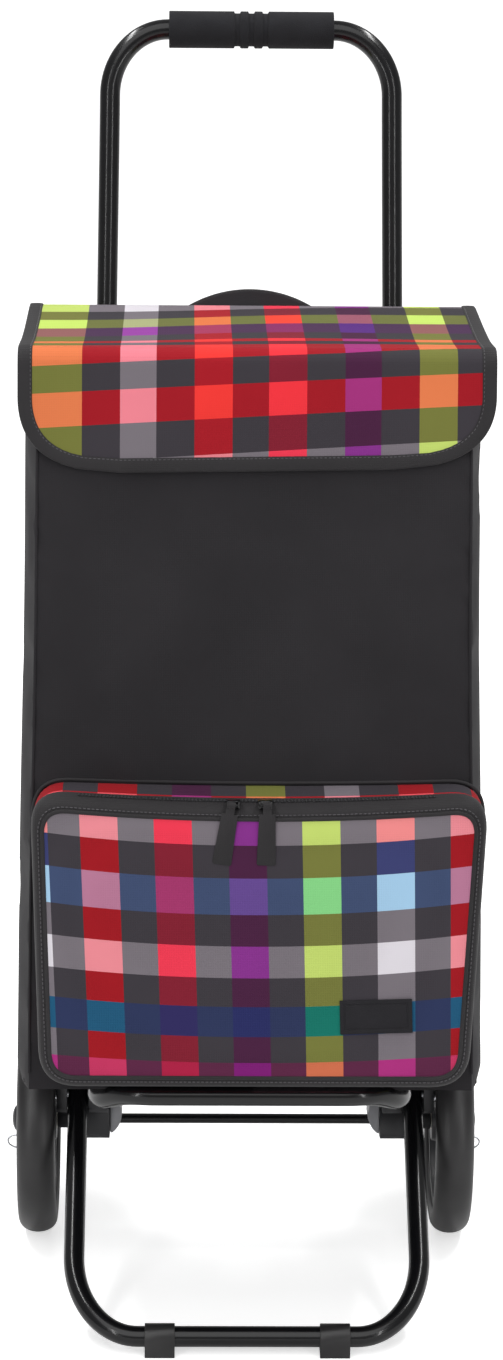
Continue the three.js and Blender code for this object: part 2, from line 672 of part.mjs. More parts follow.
leaning.updateMatrixWorld(true);
const pivotInWorld = leaning.localToWorld(new THREE.Vector3(0, -STAND_PIVOT.forward, STAND_PIVOT.up));
const standDrop = Math.asin((pivotInWorld.z - SOLE) / STAND.length);
const stand = new THREE.Group();
stand.position.copy(pivotInWorld);
stand.rotation.x = standDrop;
trolley.add(stand);
add(stand, 'stand_frame', 'steel', standFrame());
for (const [side, x] of [['left', -STAND.sleeveAt], ['right', STAND.sleeveAt]]) {
  const sleeve = add(stand, `stand_foot_${side}`, 'rubber', standSleeve(x));
  sleeve.position.y = -STAND.length;
  sleeve.rotation.x = -standDrop;
}

add(leaning, 'platform_frame', 'steel', platformFrame());

add(leaning, 'bag_body', 'polyester', bagBody());
add(leaning, 'base_board', 'board', baseBoard());
add(leaning, 'lid_flap', 'check', frontFlap());
add(leaning, 'hanging_tab', 'polyester', hangingTab());
addPair(leaning, 'leg_strap_lower', 'webbing', legStrap(STRAP.low));
addPair(leaning, 'leg_strap_upper', 'webbing', legStrap(STRAP.high));
add(leaning, 'fastener_loop', 'webbing', fastener(BAG_FRONT + FIT));
add(leaning, 'fastener_hook', 'webbing', fastener(BAG_FRONT + FLAP.overhang - FIT - GRIPPER.thick));

add(leaning, 'front_pocket', 'check', frontPocket());
add(leaning, 'zip_tape', 'webbing', zipTape());
for (const [side, x] of [['left', ZIP.meet - SLIDER.apart / 2], ['right', ZIP.meet + SLIDER.apart / 2]]) {
  add(leaning, `zip_slider_${side}`, 'zinc', zipSlider(x));
  add(leaning, `zip_puller_${side}`, 'webbing', zipPuller(x));
}
add(leaning, 'label_patch', 'leather', labelPatch());

// Put the origin at the middle of the footprint.
trolley.updateMatrixWorld(true);
const box = new THREE.Box3().setFromObject(trolley, true);
const middle = box.getCenter(new THREE.Vector3());
for (const group of trolley.children) {
  group.position.x -= middle.x;
  group.position.y -= middle.y;
}
trolley.updateMatrixWorld(true);

export default trolley;
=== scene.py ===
"""A two-wheeled shopping trolley with a soft checked bag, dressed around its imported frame."""

import math

import bpy
from mathutils import Matrix, Vector


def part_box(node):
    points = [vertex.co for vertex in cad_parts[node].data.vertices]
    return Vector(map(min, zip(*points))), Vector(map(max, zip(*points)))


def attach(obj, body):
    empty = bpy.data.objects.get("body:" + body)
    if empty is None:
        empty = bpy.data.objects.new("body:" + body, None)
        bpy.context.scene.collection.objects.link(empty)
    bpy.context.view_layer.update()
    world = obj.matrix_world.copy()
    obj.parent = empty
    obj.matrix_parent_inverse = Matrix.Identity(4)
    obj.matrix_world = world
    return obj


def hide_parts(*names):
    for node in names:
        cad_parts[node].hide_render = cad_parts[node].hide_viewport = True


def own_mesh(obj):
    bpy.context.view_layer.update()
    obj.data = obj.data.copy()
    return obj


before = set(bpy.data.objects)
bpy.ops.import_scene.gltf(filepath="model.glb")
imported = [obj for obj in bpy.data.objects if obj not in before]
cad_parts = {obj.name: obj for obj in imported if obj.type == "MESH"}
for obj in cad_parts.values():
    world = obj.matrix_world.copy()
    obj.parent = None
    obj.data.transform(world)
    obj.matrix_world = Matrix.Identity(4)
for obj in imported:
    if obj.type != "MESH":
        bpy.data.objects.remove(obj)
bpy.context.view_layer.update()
bpy.ops.object.select_all(action="DESELECT")

# ---------------------------------------------------------------- camera
# A long lens three metres in front of the trolley looks down on it from above the handle.
LENS_MM = 106.87
SENSOR_MM = 36.0
camera_aim = Vector((0.0003, -0.0544, 0.5022))
camera_distance = 3.06
camera_turn = math.radians(1.02)
camera_pitch = math.radians(16.87)
camera_roll = math.radians(0.57)

looking = Vector((
    math.sin(camera_turn) * math.cos(camera_pitch),
    math.cos(camera_turn) * math.cos(camera_pitch),
    -math.sin(camera_pitch),
))
bpy.ops.object.camera_add(location=camera_aim - looking * camera_distance)
camera = bpy.context.object
upright = looking.to_track_quat("-Z", "Y").to_matrix()
camera.rotation_euler = (upright @ Matrix.Rotation(camera_roll, 3, "Z")).to_euler()
camera.data.lens = LENS_MM
camera.data.sensor_width = SENSOR_MM
bpy.context.scene.camera = camera

# ---------------------------------------------------------------- studio
# A pale seamless floor in an even white room, with a wide ceiling light, two tall soft boxes and two
# long ones overhead.
# The tall boxes stand to either side, so round tubes show two thin bright lines.


def linear(hex_colour):
    """An sRGB hex colour as the linear colour that a shader wants."""
    parts = [int(hex_colour[i:i + 2], 16) / 255 for i in (1, 3, 5)]
    return [c / 12.92 if c <= 0.04045 else ((c + 0.055) / 1.055) ** 2.4 for c in parts] + [1.0]


def add_node(tree, kind, inputs=None, **settings):
    """A shader node with its settings; an input that is a socket is linked, any other is a value."""
    node = tree.nodes.new(kind)
    for name, value in settings.items():
        setattr(node, name, value)
    for name, value in (inputs or {}).items():
        if isinstance(value, bpy.types.NodeSocket):
            tree.links.new(value, node.inputs[name])
        else:
            node.inputs[name].default_value = value
    return node


def new_material(name, **principled):
    """A material with one Principled shader; the keywords are its own constant inputs."""
    material = bpy.data.materials.new(name)
    material.use_nodes = True
    tree = material.node_tree
    shader = tree.nodes["Principled BSDF"]
    for key, value in principled.items():
        shader.inputs[key.replace("_", " ")].default_value = value
    return material, tree, shader


def soft_box(name, width, height, place, aim, watts):
    bpy.ops.object.light_add(type="AREA", location=place)
    light = bpy.context.object
    light.name = name
    light.data.shape = "RECTANGLE"
    light.data.size = width
    light.data.size_y = height
    light.data.energy = watts
    light.rotation_euler = (Vector(aim) - Vector(place)).to_track_quat("-Z", "Y").to_euler()


FLOOR_SIZE = 40.0
FLOOR_GLOW = 0.55
bpy.ops.mesh.primitive_plane_add(size=FLOOR_SIZE, location=(0, FLOOR_SIZE / 4, 0))
floor = bpy.context.object
floor.name = "studio_floor"
white_vinyl, tree, shader = new_material(
    "white_vinyl_floor", Roughness=0.9, Base_Color=linear("#fafafa"), Specular_IOR_Level=0.1,
    Emission_Color=linear("#ffffff"),
)
seen = add_node(tree, "ShaderNodeLightPath").outputs["Is Camera Ray"]
glow = add_node(tree, "ShaderNodeMath", {0: seen, 1: FLOOR_GLOW}, operation="MULTIPLY").outputs[0]
tree.links.new(glow, shader.inputs["Emission Strength"])
floor.data.materials.append(white_vinyl)

# The room looks white to the camera and lights the trolley with less than that.
ROOM_LIGHT = 0.3
world = bpy.data.worlds.new("white_room")
world.use_nodes = True
sky = world.node_tree.nodes["Background"].inputs
sky["Color"].default_value = linear("#ffffff")
seen = add_node(world.node_tree, "ShaderNodeLightPath").outputs["Is Camera Ray"]
brightness = add_node(
    world.node_tree, "ShaderNodeMath", {0: seen, 1: 1 - ROOM_LIGHT, 2: ROOM_LIGHT}, operation="MULTIPLY_ADD")
world.node_tree.links.new(brightness.outputs[0], sky["Strength"])
bpy.context.scene.world = world
bpy.context.scene.view_settings.view_transform = "Standard"

for side in (-1, 1):
    soft_box(f"side_box_{side}", 0.15, 2.2, (side * 1.75, -2.6, 1.2), (0, 0, 0.6), 15)
    soft_box(f"top_box_{side}", 1.8, 0.18, (side * 1.05, 0.4, 2.3), (side * 0.15, 0.4, 0.1), 22)
bpy.ops.object.light_add(type="SUN", rotation=(math.radians(38), 0, math.radians(-8)))
ceiling = bpy.context.object
ceiling.name = "ceiling_light"
ceiling.data.energy = 1.3
ceiling.data.angle = math.radians(60)

# ---------------------------------------------------------------- leaning axes
# Nearly every piece is drawn in axes that lean back with the frame: x to the right, -y forward from
# the main legs, z up along them from the level of the axle.
LEAN = math.radians(12)
MM = 0.001
LEGS_BEFORE_AXLE = 29 * MM
axle_low, axle_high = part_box("axle_rod")
axle_centre = (axle_low + axle_high) / 2
forward = Vector((0, -math.cos(LEAN), math.sin(LEAN)))
LEANING = Matrix.Translation(axle_centre + forward * LEGS_BEFORE_AXLE) @ Matrix.Rotation(-LEAN, 4, "X")


def leaned(x, ahead, up):
    """A point in the leaning axes, from millimetres."""
    return Vector((x * MM, -ahead * MM, up * MM))


# ---------------------------------------------------------------- steel tubes
# The handle, the stand and the platform are 16 mm steel tube, cold bent to a U and powder coated a
# smooth gloss black; the coat has a faint orange peel that breaks up its highlights.
TUBE_RADIUS = 8 * MM
QUARTER_BEND = 0.5523


def select_only(piece):
    bpy.ops.object.select_all(action="DESELECT")
    piece.select_set(True)
    bpy.context.view_layer.objects.active = piece


def edit_all(piece):
    """Goes into edit mode on one piece with everything selected."""
    select_only(piece)
    bpy.ops.object.mode_set(mode="EDIT")
    bpy.ops.mesh.select_all(action="SELECT")


def smooth(piece, degrees=35):
    select_only(piece)
    bpy.ops.object.shade_smooth_by_angle(angle=math.radians(degrees))


def place(piece, matrix=LEANING):
    """Puts a piece where it belongs and leaves its place in its mesh."""
    piece.data.transform(matrix @ piece.matrix_basis)
    piece.matrix_basis = Matrix.Identity(4)


def fit(piece, material, body, slot, *nodes):
    """Gives a finished piece its material and its body, and hides the nodes it stands for; slot is not used.
    """
    piece.data.materials.clear()
    piece.data.materials.append(material)
    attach(piece, body)
    if nodes:
        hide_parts(*nodes)


def u_tube(name, foot_x, top_x, reach, bend_across, bend_along, matrix, start=0.0):
    """A U of tube with its feet at the start height and its crossbar at reach, all in millimetres."""
    corner = reach - bend_along
    stations = [
        (-foot_x, start), (-top_x, corner), (-top_x + bend_across, reach),
        (top_x - bend_across, reach), (top_x, corner), (foot_x, start),
    ]
    bpy.ops.curve.primitive_bezier_curve_add()
    piece = bpy.context.object
    piece.name = name
    knots = piece.data.splines[0].bezier_points
    knots.add(len(stations) - len(knots))
    for knot, (x, up) in zip(knots, stations):
        knot.co = leaned(x, 0, up)
        knot.handle_left_type = knot.handle_right_type = "VECTOR"
    rise = leaned(0, 0, bend_along * QUARTER_BEND)
    run = leaned(bend_across * QUARTER_BEND, 0, 0)
    for knot in knots[1:5]:
        knot.handle_left_type = knot.handle_right_type = "FREE"
    for knot, before, after in (
        (knots[1], -rise, rise), (knots[2], -run, run), (knots[3], -run, run), (knots[4], rise, -rise),
    ):
        knot.handle_left = knot.co + before
        knot.handle_right = knot.co + after
    piece.data.resolution_u = 24
    piece.data.bevel_depth = TUBE_RADIUS
    piece.data.bevel_resolution = 8
    piece.data.use_fill_caps = True
    select_only(piece)
    bpy.ops.object.convert(target="MESH")
    edit_all(piece)
    bpy.ops.mesh.remove_doubles(threshold=1e-6)
    bpy.ops.mesh.normals_make_consistent(inside=False)
    bpy.ops.object.mode_set(mode="OBJECT")
    smooth(piece)
    place(piece, matrix)
    return piece


def object_axes(tree):
    return add_node(tree, "ShaderNodeTexCoord").outputs["Object"]


def bumped(tree, shader, height, strength, distance):
    """Raises the surface by a pattern; distance is its height in metres."""
    bump = add_node(tree, "ShaderNodeBump", {"Height": height, "Strength": strength, "Distance": distance})
    tree.links.new(bump.outputs[0], shader.inputs["Normal"])


# Powder coat: a thick dielectric film over steel, so it is smooth, black and glossy.
powder_coat, tree, shader = new_material(
    "powder_coated_steel", IOR=1.5, Base_Color=linear("#0c0c0e"), Specular_IOR_Level=0.3,
    Coat_Weight=0.25, Coat_Roughness=0.08,
)
where = object_axes(tree)
peel = add_node(tree, "ShaderNodeTexNoise", {"Vector": where, "Scale": 450.0, "Detail": 2.0})
bumped(tree, shader, peel.outputs[0], 0.004, 0.0004)
smudges = add_node(tree, "ShaderNodeTexNoise", {"Vector": where, "Scale": 14.0, "Detail": 4.0})
gloss = add_node(tree, "ShaderNodeMapRange", {"Value": smudges.outputs[0], "To Min": 0.18, "To Max": 0.3})
tree.links.new(gloss.outputs[0], shader.inputs["Roughness"])

HANDLE_HALF_LOW, HANDLE_HALF_TOP, HANDLE_TOP = 121.5, 111.5, 877
handle = u_tube("handle_tube", HANDLE_HALF_LOW, HANDLE_HALF_TOP, HANDLE_TOP, 46, 52, LEANING, start=-3)
fit(handle, powder_coat, "frame_and_bag", "black_steel", "handle_frame")

# The stand and the platform are hinged on the joint blocks, and their feet run a little past the pins.
STAND_AHEAD, STAND_UP, STAND_HALF, STAND_REACH = 22, 30, 134, 229
PAST_PIVOT = 6
stand_pivot = LEANING @ leaned(0, STAND_AHEAD, STAND_UP)
sole_low, sole_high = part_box("stand_foot_left")
foot_bar = Vector((0, (sole_low.y + sole_high.y) / 2, 14 * MM))
stand_drop = math.asin((stand_pivot.z - foot_bar.z) / (STAND_REACH * MM))
along_y = Matrix.Rotation(math.radians(90), 4, "X")
STANDING = Matrix.Translation(stand_pivot) @ Matrix.Rotation(stand_drop, 4, "X") @ along_y
stand = u_tube("stand_tube", STAND_HALF, STAND_HALF, STAND_REACH, 50, 73, STANDING, start=-PAST_PIVOT)
fit(stand, powder_coat, "stand", "black_steel", "stand_frame")

PLATFORM_AHEAD, PLATFORM_UP, PLATFORM_HALF, PLATFORM_REACH = 24, 67, 114, 236
LYING = LEANING @ Matrix.Translation(leaned(0, PLATFORM_AHEAD, PLATFORM_UP)) @ along_y
platform = u_tube(
    "platform_tube", PLATFORM_HALF, PLATFORM_HALF, PLATFORM_REACH, 45, 45, LYING, start=-PAST_PIVOT)
# Its front bar sits a little higher than the two legs.
BAR_LIFT, LIFT_FROM, LIFT_OVER = 7.0, 232, 28
up_the_legs = LEANING.to_3x3() @ Vector((0, 0, MM))
for vertex in platform.data.vertices:
    ahead = (LEANING.inverted() @ vertex.co).y / -MM
    reach = min(1.0, max(0.0, (ahead - LIFT_FROM) / LIFT_OVER))
    vertex.co += up_the_legs * BAR_LIFT * reach ** 2 * (3 - 2 * reach)
fit(platform, powder_coat, "platform", "black_steel", "platform_frame")

# ---------------------------------------------------------------- foam grip
# A closed-cell EVA foam sleeve pushed on to the crossbar, skived with two narrow raised rings.
# Its skin is matt and finely pitted.


def apply_modifier(piece, kind, **settings):
    select_only(piece)
    modifier = piece.modifiers.new(kind.lower(), kind)
    for name, value in settings.items():
        setattr(modifier, name, value)
    bpy.ops.object.modifier_apply(modifier=modifier.name)


def toned(tree, shader, factor, low_hex, high_hex, low_at=0.0, high_at=1.0):
    """Colours a shader between two tones, as the factor goes from low_at to high_at."""
    ramp = add_node(tree, "ShaderNodeValToRGB", {"Fac": factor})
    ramp.color_ramp.elements[0].position = low_at
    ramp.color_ramp.elements[0].color = linear(low_hex)
    ramp.color_ramp.elements[1].position = high_at
    ramp.color_ramp.elements[1].color = linear(high_hex)
    tree.links.new(ramp.outputs[0], shader.inputs["Base Color"])


def turned(name, profile, matrix=Matrix.Identity(4), steps=64, edge=0.0):
    """A closed [radius, x] profile in millimetres, spun about the x axis."""
    bpy.ops.mesh.primitive_circle_add(vertices=len(profile), fill_type="NOTHING")
    piece = bpy.context.object
    piece.name = name
    for vertex, (radius, x) in zip(piece.data.vertices, profile):
        vertex.co = Vector((x * MM, 0, radius * MM))
    edit_all(piece)
    bpy.ops.mesh.spin(steps=steps, angle=2 * math.pi, center=(0, 0, 0), axis=(1, 0, 0))
    bpy.ops.mesh.select_all(action="SELECT")
    bpy.ops.mesh.remove_doubles(threshold=1e-6)
    bpy.ops.mesh.normals_make_consistent(inside=False)
    bpy.ops.object.mode_set(mode="OBJECT")
    if edge:
        apply_modifier(piece, "BEVEL", width=edge * MM, segments=3, angle_limit=math.radians(30))
    smooth(piece)
    place(piece, matrix)
    return piece


eva_foam, tree, shader = new_material(
    "eva_foam", Roughness=0.93, Sheen_Weight=0.03, Specular_IOR_Level=0.15)
where = object_axes(tree)
cells = add_node(tree, "ShaderNodeTexVoronoi", {"Vector": where, "Scale": 1100.0})
tone = add_node(tree, "ShaderNodeTexNoise", {"Vector": where, "Scale": 60.0, "Detail": 5.0})
toned(tree, shader, tone.outputs[0], "#1b1b1d", "#28282b")
bumped(tree, shader, cells.outputs[0], 0.35, 0.0006)

GRIP_RADIUS, GROOVE_RADIUS, GRIP_BORE = 14.5, 12.9, 8.4
GRIP_HALF = 65
half_grip = [(GROOVE_RADIUS, 2.3), (GRIP_RADIUS, 2.3), (GRIP_RADIUS, 8.8), (GROOVE_RADIUS, 8.8),
             (GROOVE_RADIUS, 13.4), (GRIP_RADIUS, 13.4), (GRIP_RADIUS, GRIP_HALF), (GRIP_BORE, GRIP_HALF)]
grip_profile = [(r, -x) for r, x in reversed(half_grip)] + half_grip
crossbar_at = LEANING @ Matrix.Translation(leaned(0, 0, HANDLE_TOP))
grip = turned("foam_sleeve", grip_profile, crossbar_at, steps=72, edge=1.3)
fit(grip, eva_foam, "frame_and_bag", "grip_foam", "foam_grip")

# ---------------------------------------------------------------- joints and axle fittings
# Glass-filled nylon blocks clamp the legs and carry the pivots of the stand and the platform, nylon
# shoes hold the axle, and a polypropylene cheek is clipped to the inside of each shoe. The cheek's
# light grey colour is a painted reflection of the bright floor in its glossy face.


def moulded(name, low_hex, high_hex, roughness, grain_mm, depth):
    """An injection-moulded plastic with a spark-eroded grain and a slight change of tone."""
    material, tree, shader = new_material(name, Roughness=roughness)
    where = object_axes(tree)
    fine = 1 / (grain_mm * MM)
    grain = add_node(tree, "ShaderNodeTexNoise", {"Vector": where, "Scale": fine, "Detail": 3.0})
    clouds = add_node(tree, "ShaderNodeTexNoise", {"Vector": where, "Scale": 40.0, "Detail": 4.0})
    toned(tree, shader, clouds.outputs[0], low_hex, high_hex, 0.3, 0.7)
    bumped(tree, shader, grain.outputs[0], depth, grain_mm * MM)
    return material


def refined(node, name, edge):
    """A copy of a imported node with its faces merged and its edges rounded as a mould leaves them."""
    piece = bpy.data.objects.new(name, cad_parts[node].data.copy())
    bpy.context.scene.collection.objects.link(piece)
    edit_all(piece)
    bpy.ops.mesh.remove_doubles(threshold=1e-6)
    bpy.ops.mesh.dissolve_limited(angle_limit=math.radians(1.5))
    bpy.ops.object.mode_set(mode="OBJECT")
    apply_modifier(piece, "BEVEL", width=edge * MM, segments=3, limit_method="ANGLE",
                   angle_limit=math.radians(32), harden_normals=True)
    smooth(piece)
    return piece


nylon = moulded("glass_filled_nylon", "#1f1f22", "#2a2a2d", 0.45, 0.6, 0.25)
# The cheeks' light grey base colour stands in for the bright floor reflected in them: a painted reflection.
grey_plastic = moulded("painted_reflection_grey_plastic", "#7e7e82", "#949498", 0.42, 0.8, 0.15)
zinc, tree, shader = new_material("zinc_plated_steel", Metallic=1.0, Roughness=0.3)
where = object_axes(tree)
spangle = add_node(tree, "ShaderNodeTexVoronoi", {"Vector": where, "Scale": 900.0})
toned(tree, shader, spangle.outputs[0], "#b4b6ba", "#d0d2d6")

for side in ("right", "left"):
    block = refined(f"joint_block_{side}", f"pivot_block_{side}", 1.4)
    fit(block, nylon, "frame_and_bag", "moulded_plastic", f"joint_block_{side}")
    shoe = refined(f"axle_shoe_{side}", f"leg_shoe_{side}", 1.6)
    fit(shoe, nylon, "frame_and_bag", "moulded_plastic", f"axle_shoe_{side}")
    cheek = refined(f"axle_cheek_{side}", f"grey_cheek_{side}", 0.8)
    fit(cheek, grey_plastic, "frame_and_bag", "grey_plastic", f"axle_cheek_{side}")

# Steel rivets are the pivots; each has a domed head on the side of the block that shows.
RIVET_DOME = [(0, 3.2), (2.2, 3.0), (4.2, 2.1), (5.4, 0.4)]


def rivet(name, ahead, up, tail_x, head_x, radius, side):
    """A rivet that lies along x, with its dome at head_x; side is 1 on the right and -1 on the left."""
    out = 1 if head_x > tail_x else -1
    profile = [(0, tail_x), (radius, tail_x), (radius, head_x)]
    profile += [(r, head_x + out * rise) for r, rise in reversed(RIVET_DOME)]
    turn = Matrix.Scale(side, 4, (1, 0, 0))
    piece = turned(name, profile, Matrix.Identity(4), 32)
    place(piece, LEANING @ Matrix.Translation(leaned(0, ahead, up)) @ turn)
    if side < 0:
        piece.data.flip_normals()
    return piece


for side, sign in (("right", 1), ("left", -1)):
    stand_rivet = rivet(f"stand_rivet_{side}", STAND_AHEAD, STAND_UP, 119, 151, 3, sign)
    fit(stand_rivet, zinc, "frame_and_bag", "zinc_steel", f"stand_pin_{side}")
    platform_rivet = rivet(f"platform_rivet_{side}", PLATFORM_AHEAD, PLATFORM_UP, 124.6, 98, 2.5, sign)
    fit(platform_rivet, zinc, "frame_and_bag", "zinc_steel", f"platform_pin_{side}")

# ---------------------------------------------------------------- axle and wheels
# An 8 mm black steel rod runs through both shoes. Each wheel is a moulded nylon body with six windows
# and a pressed-on rubber tyre, and turns on an acetal bush between a spacer and a domed cap.


def swept(name, points, radius, closed=False, handles="AUTO", matrix=LEANING):
    """A round bar or cord bent along points in the leaning axes."""
    bpy.ops.curve.primitive_bezier_curve_add()
    piece = bpy.context.object
    piece.name = name
    spline = piece.data.splines[0]
    spline.bezier_points.add(len(points) - len(spline.bezier_points))
    for knot, point in zip(spline.bezier_points, points):
        knot.co = point
        knot.handle_left_type = handles
        knot.handle_right_type = handles
    spline.use_cyclic_u = closed
    piece.data.resolution_u = 6
    piece.data.bevel_depth = radius
    piece.data.bevel_resolution = 3
    piece.data.use_fill_caps = not closed
    select_only(piece)
    bpy.ops.object.convert(target="MESH")
    smooth(piece, 50)
    place(piece, matrix)
    return piece


WHEEL_MIDDLE = 167
AXLE_AT = Matrix.Translation(axle_centre)
AXLE_RADIUS, AXLE_HALF, AXLE_CHAMFER = 4, 184, 0.8
rod_end = [(AXLE_RADIUS, AXLE_HALF - AXLE_CHAMFER), (AXLE_RADIUS - AXLE_CHAMFER, AXLE_HALF), (0, AXLE_HALF)]
rod = turned("steel_axle", [(r, -x) for r, x in reversed(rod_end)] + rod_end, AXLE_AT, 32)
fit(rod, powder_coat, "frame_and_bag", "black_steel", "axle_rod")

tyre_rubber = moulded("vulcanised_rubber", "#1c1b1c", "#262526", 0.4, 1.0, 0.08)
wheel_nylon = moulded("moulded_wheel_nylon", "#1c1c1f", "#28282b", 0.4, 0.7, 0.2)
acetal = moulded("acetal_bush", "#cfcabc", "#dedacf", 0.35, 0.5, 0.05)

TYRE_RADIUS = 92
TYRE_SEAT = 73.6
CROWN_STEPS = 14
CROWN_HIGH, CROWN_HALF = 12.5, 15.4


def tyre_side():
    """Half of a tyre's section, from the middle of its smooth round crown to the bead."""
    half = []
    for i in range(CROWN_STEPS + 1):
        angle = math.pi / 2 * i / CROWN_STEPS
        drop = CROWN_HIGH * (1 - math.cos(angle) ** 0.85)
        half.append((TYRE_RADIUS - drop, CROWN_HALF * math.sin(angle)))
    return half + [(78.6, 14.6), (77.4, 14.6), (76.5, 14.9), (TYRE_SEAT + 0.5, 13.5), (TYRE_SEAT, 12.5)]


CAP_PROFILE = [(0, 184.3), (4.2, 184.3), (4.2, 179.3), (12, 179.3), (12, 181.8),
               (11.2, 184.2), (9.2, 186.6), (6.0, 188.0), (2.8, 188.5), (0, 188.5)]
CLIP_BEND = [(0, 6), (0, -11), (5, -14.5), (12.5, -16.5), (14.5, -20), (10.5, -24.5), (3, -25.5)]
CLIP_INNER, CLIP_BACK = 178.1, -5
tyre_profile = tyre_side() + [(r, -x) for r, x in reversed(tyre_side())][:-1]
for side, sign in (("right", 1), ("left", -1)):
    wheel_at = AXLE_AT @ Matrix.Translation(Vector((sign * WHEEL_MIDDLE * MM, 0, 0)))
    body = f"wheel_{side}"
    tyre = turned(f"rubber_tyre_{side}", tyre_profile, wheel_at, 96)
    fit(tyre, tyre_rubber, body, "tyre_rubber", f"wheel_tyre_{side}")
    wheel = refined(f"wheel_rim_{side}", f"wheel_body_{side}", 0.9)
    fit(wheel, wheel_nylon, body, "wheel_plastic", f"wheel_rim_{side}")
    bush = refined(f"wheel_bush_{side}", f"acetal_bush_{side}", 0.4)
    fit(bush, acetal, body, "bush_plastic", f"wheel_bush_{side}")
    spacer = refined(f"axle_spacer_{side}", f"nylon_spacer_{side}", 0.5)
    fit(spacer, nylon, "frame_and_bag", "moulded_plastic", f"axle_spacer_{side}")
    cap = turned(f"domed_cap_{side}", [(r, x * sign) for r, x in CAP_PROFILE], AXLE_AT, 40)
    fit(cap, nylon, "frame_and_bag", "moulded_plastic", f"axle_cap_{side}")
    wire = [leaned(sign * (CLIP_INNER + x), CLIP_BACK, up) for x, up in CLIP_BEND]
    clip = swept(f"sprung_wire_{side}", wire, 0.7 * MM, matrix=AXLE_AT @ Matrix.Rotation(-LEAN, 4, "X"))
    fit(clip, zinc, "frame_and_bag", "zinc_steel", f"wheel_clip_{side}")
    foot = refined(f"stand_foot_{side}", f"rubber_sole_{side}", 1.2)
    fit(foot, tyre_rubber, "stand", "tyre_rubber", f"stand_foot_{side}")

# ---------------------------------------------------------------- bag body
# The bag is 600 denier polyester, a plain weave cut as panels and sewn inside out, so its upright
# seams stand as soft ridges. It stands on the platform, swells a little and pulls in at its seams.
BAG_BACK, BAG_FRONT, BAG_LOW = 13, 249, 76
BAG_TOP_BACK, BAG_TOP_FRONT = 653, 620
BAG_HALF, BAG_HALF_TOP = 174.0, 168.0
SEAM_PULL = 9.0
BAG_RIPPLE, BAG_SLACK, BAG_HOLLOW = 0.9, 3.2, 1.5
CREASES = ((1, 300, 1.15), (-1, 290, 0.6))
CREASE_HIGH, CREASE_WIDE, CREASE_FROM = 2.4, 17, 50


def folds_flat(piece):
    """Gives a piece its own copy of its mesh."""
    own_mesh(piece)


def weave_height(tree, where, thread_mm):
    """The height of a plain weave in the leaning axes: threads across and threads up and down."""
    scale = 0.314 / (thread_mm * MM)
    level = add_node(tree, "ShaderNodeMapping", {"Vector": where, "Rotation": (LEAN, 0, 0)}).outputs[0]
    bands = []
    for direction in ("X", "Y", "Z"):
        lines = {"Vector": level, "Scale": scale}
        wave = add_node(tree, "ShaderNodeTexWave", lines, bands_direction=direction)
        bands.append(wave.outputs["Fac"])
    across = add_node(tree, "ShaderNodeMath", {0: bands[0], 1: bands[1]}, operation="MULTIPLY").outputs[0]
    return add_node(tree, "ShaderNodeMath", {0: across, 1: bands[2]}, operation="MULTIPLY").outputs[0]


def woven(name, low_hex, high_hex, thread_mm, depth, roughness, sheen):
    """A plain cloth or tape; its threads are drawn coarser than the real half millimetre, to show."""
    material, tree, shader = new_material(
        name, Roughness=roughness, Sheen_Weight=sheen, Specular_IOR_Level=0.3)
    where = object_axes(tree)
    threads = weave_height(tree, where, thread_mm)
    clouds = add_node(tree, "ShaderNodeTexNoise", {"Vector": where, "Scale": 9.0, "Detail": 6.0}).outputs[0]
    mixed = add_node(tree, "ShaderNodeMath", {0: threads, 1: 0.12, 2: clouds}, operation="MULTIPLY_ADD")
    toned(tree, shader, mixed.outputs[0], low_hex, high_hex, 0.35, 0.85)
    bumped(tree, shader, threads, depth, thread_mm * MM / 3)
    return material


def gentle(x, y, z):
    """A slow, repeatable ripple between -1 and 1, for slack in cloth; lengths in millimetres."""
    wander = math.sin(x / 61 + 1.3 * math.sin(z / 83))
    return (wander + math.sin(z / 47 + y / 90) + math.sin((x + z) / 112)) / 3


def creased(x, up):
    """Two soft creases that start beside the middle of the front and run up towards its edges."""
    raised = 0.0
    for sign, start, rise in CREASES:
        along = max(0.0, sign * x - CREASE_FROM)
        off_line = up - start - rise * along
        raised += CREASE_HIGH * math.exp(-(off_line / CREASE_WIDE) ** 2) * min(1.0, along / CREASE_FROM)
    return raised


def bag_point(across, depth, share):
    """Where a point of the flat-sided pattern lies on the sewn bag; across and depth run from -1 to 1."""
    ahead = (BAG_BACK + BAG_FRONT) / 2 + depth * (BAG_FRONT - BAG_BACK) / 2
    top = BAG_TOP_BACK + (BAG_TOP_FRONT - BAG_TOP_BACK) * (depth + 1) / 2
    up = BAG_LOW + (top - BAG_LOW) * share
    half = BAG_HALF + (BAG_HALF_TOP - BAG_HALF) * share
    half -= SEAM_PULL * abs(depth) ** 3
    half += BAG_RIPPLE * gentle(40 * across, ahead, up)
    x = across * half
    slack = gentle(x, ahead, up) * (1 - across ** 2) * (1 - (2 * share - 1) ** 6)
    if depth > 0:
        ahead += depth ** 9 * (BAG_SLACK * slack + (creased(x, up) - BAG_HOLLOW) * (1 - across ** 2))
    return leaned(x, ahead, up)


def sewn(piece, thick_mm, offset, material, *names):
    """Gives a cloth surface its thickness, its finish and its body, and its own copy of its mesh."""
    apply_modifier(piece, "SOLIDIFY", thickness=thick_mm * MM, offset=offset)
    smooth(piece, 60)
    place(piece)
    fit(piece, material, *names)
    folds_flat(piece)


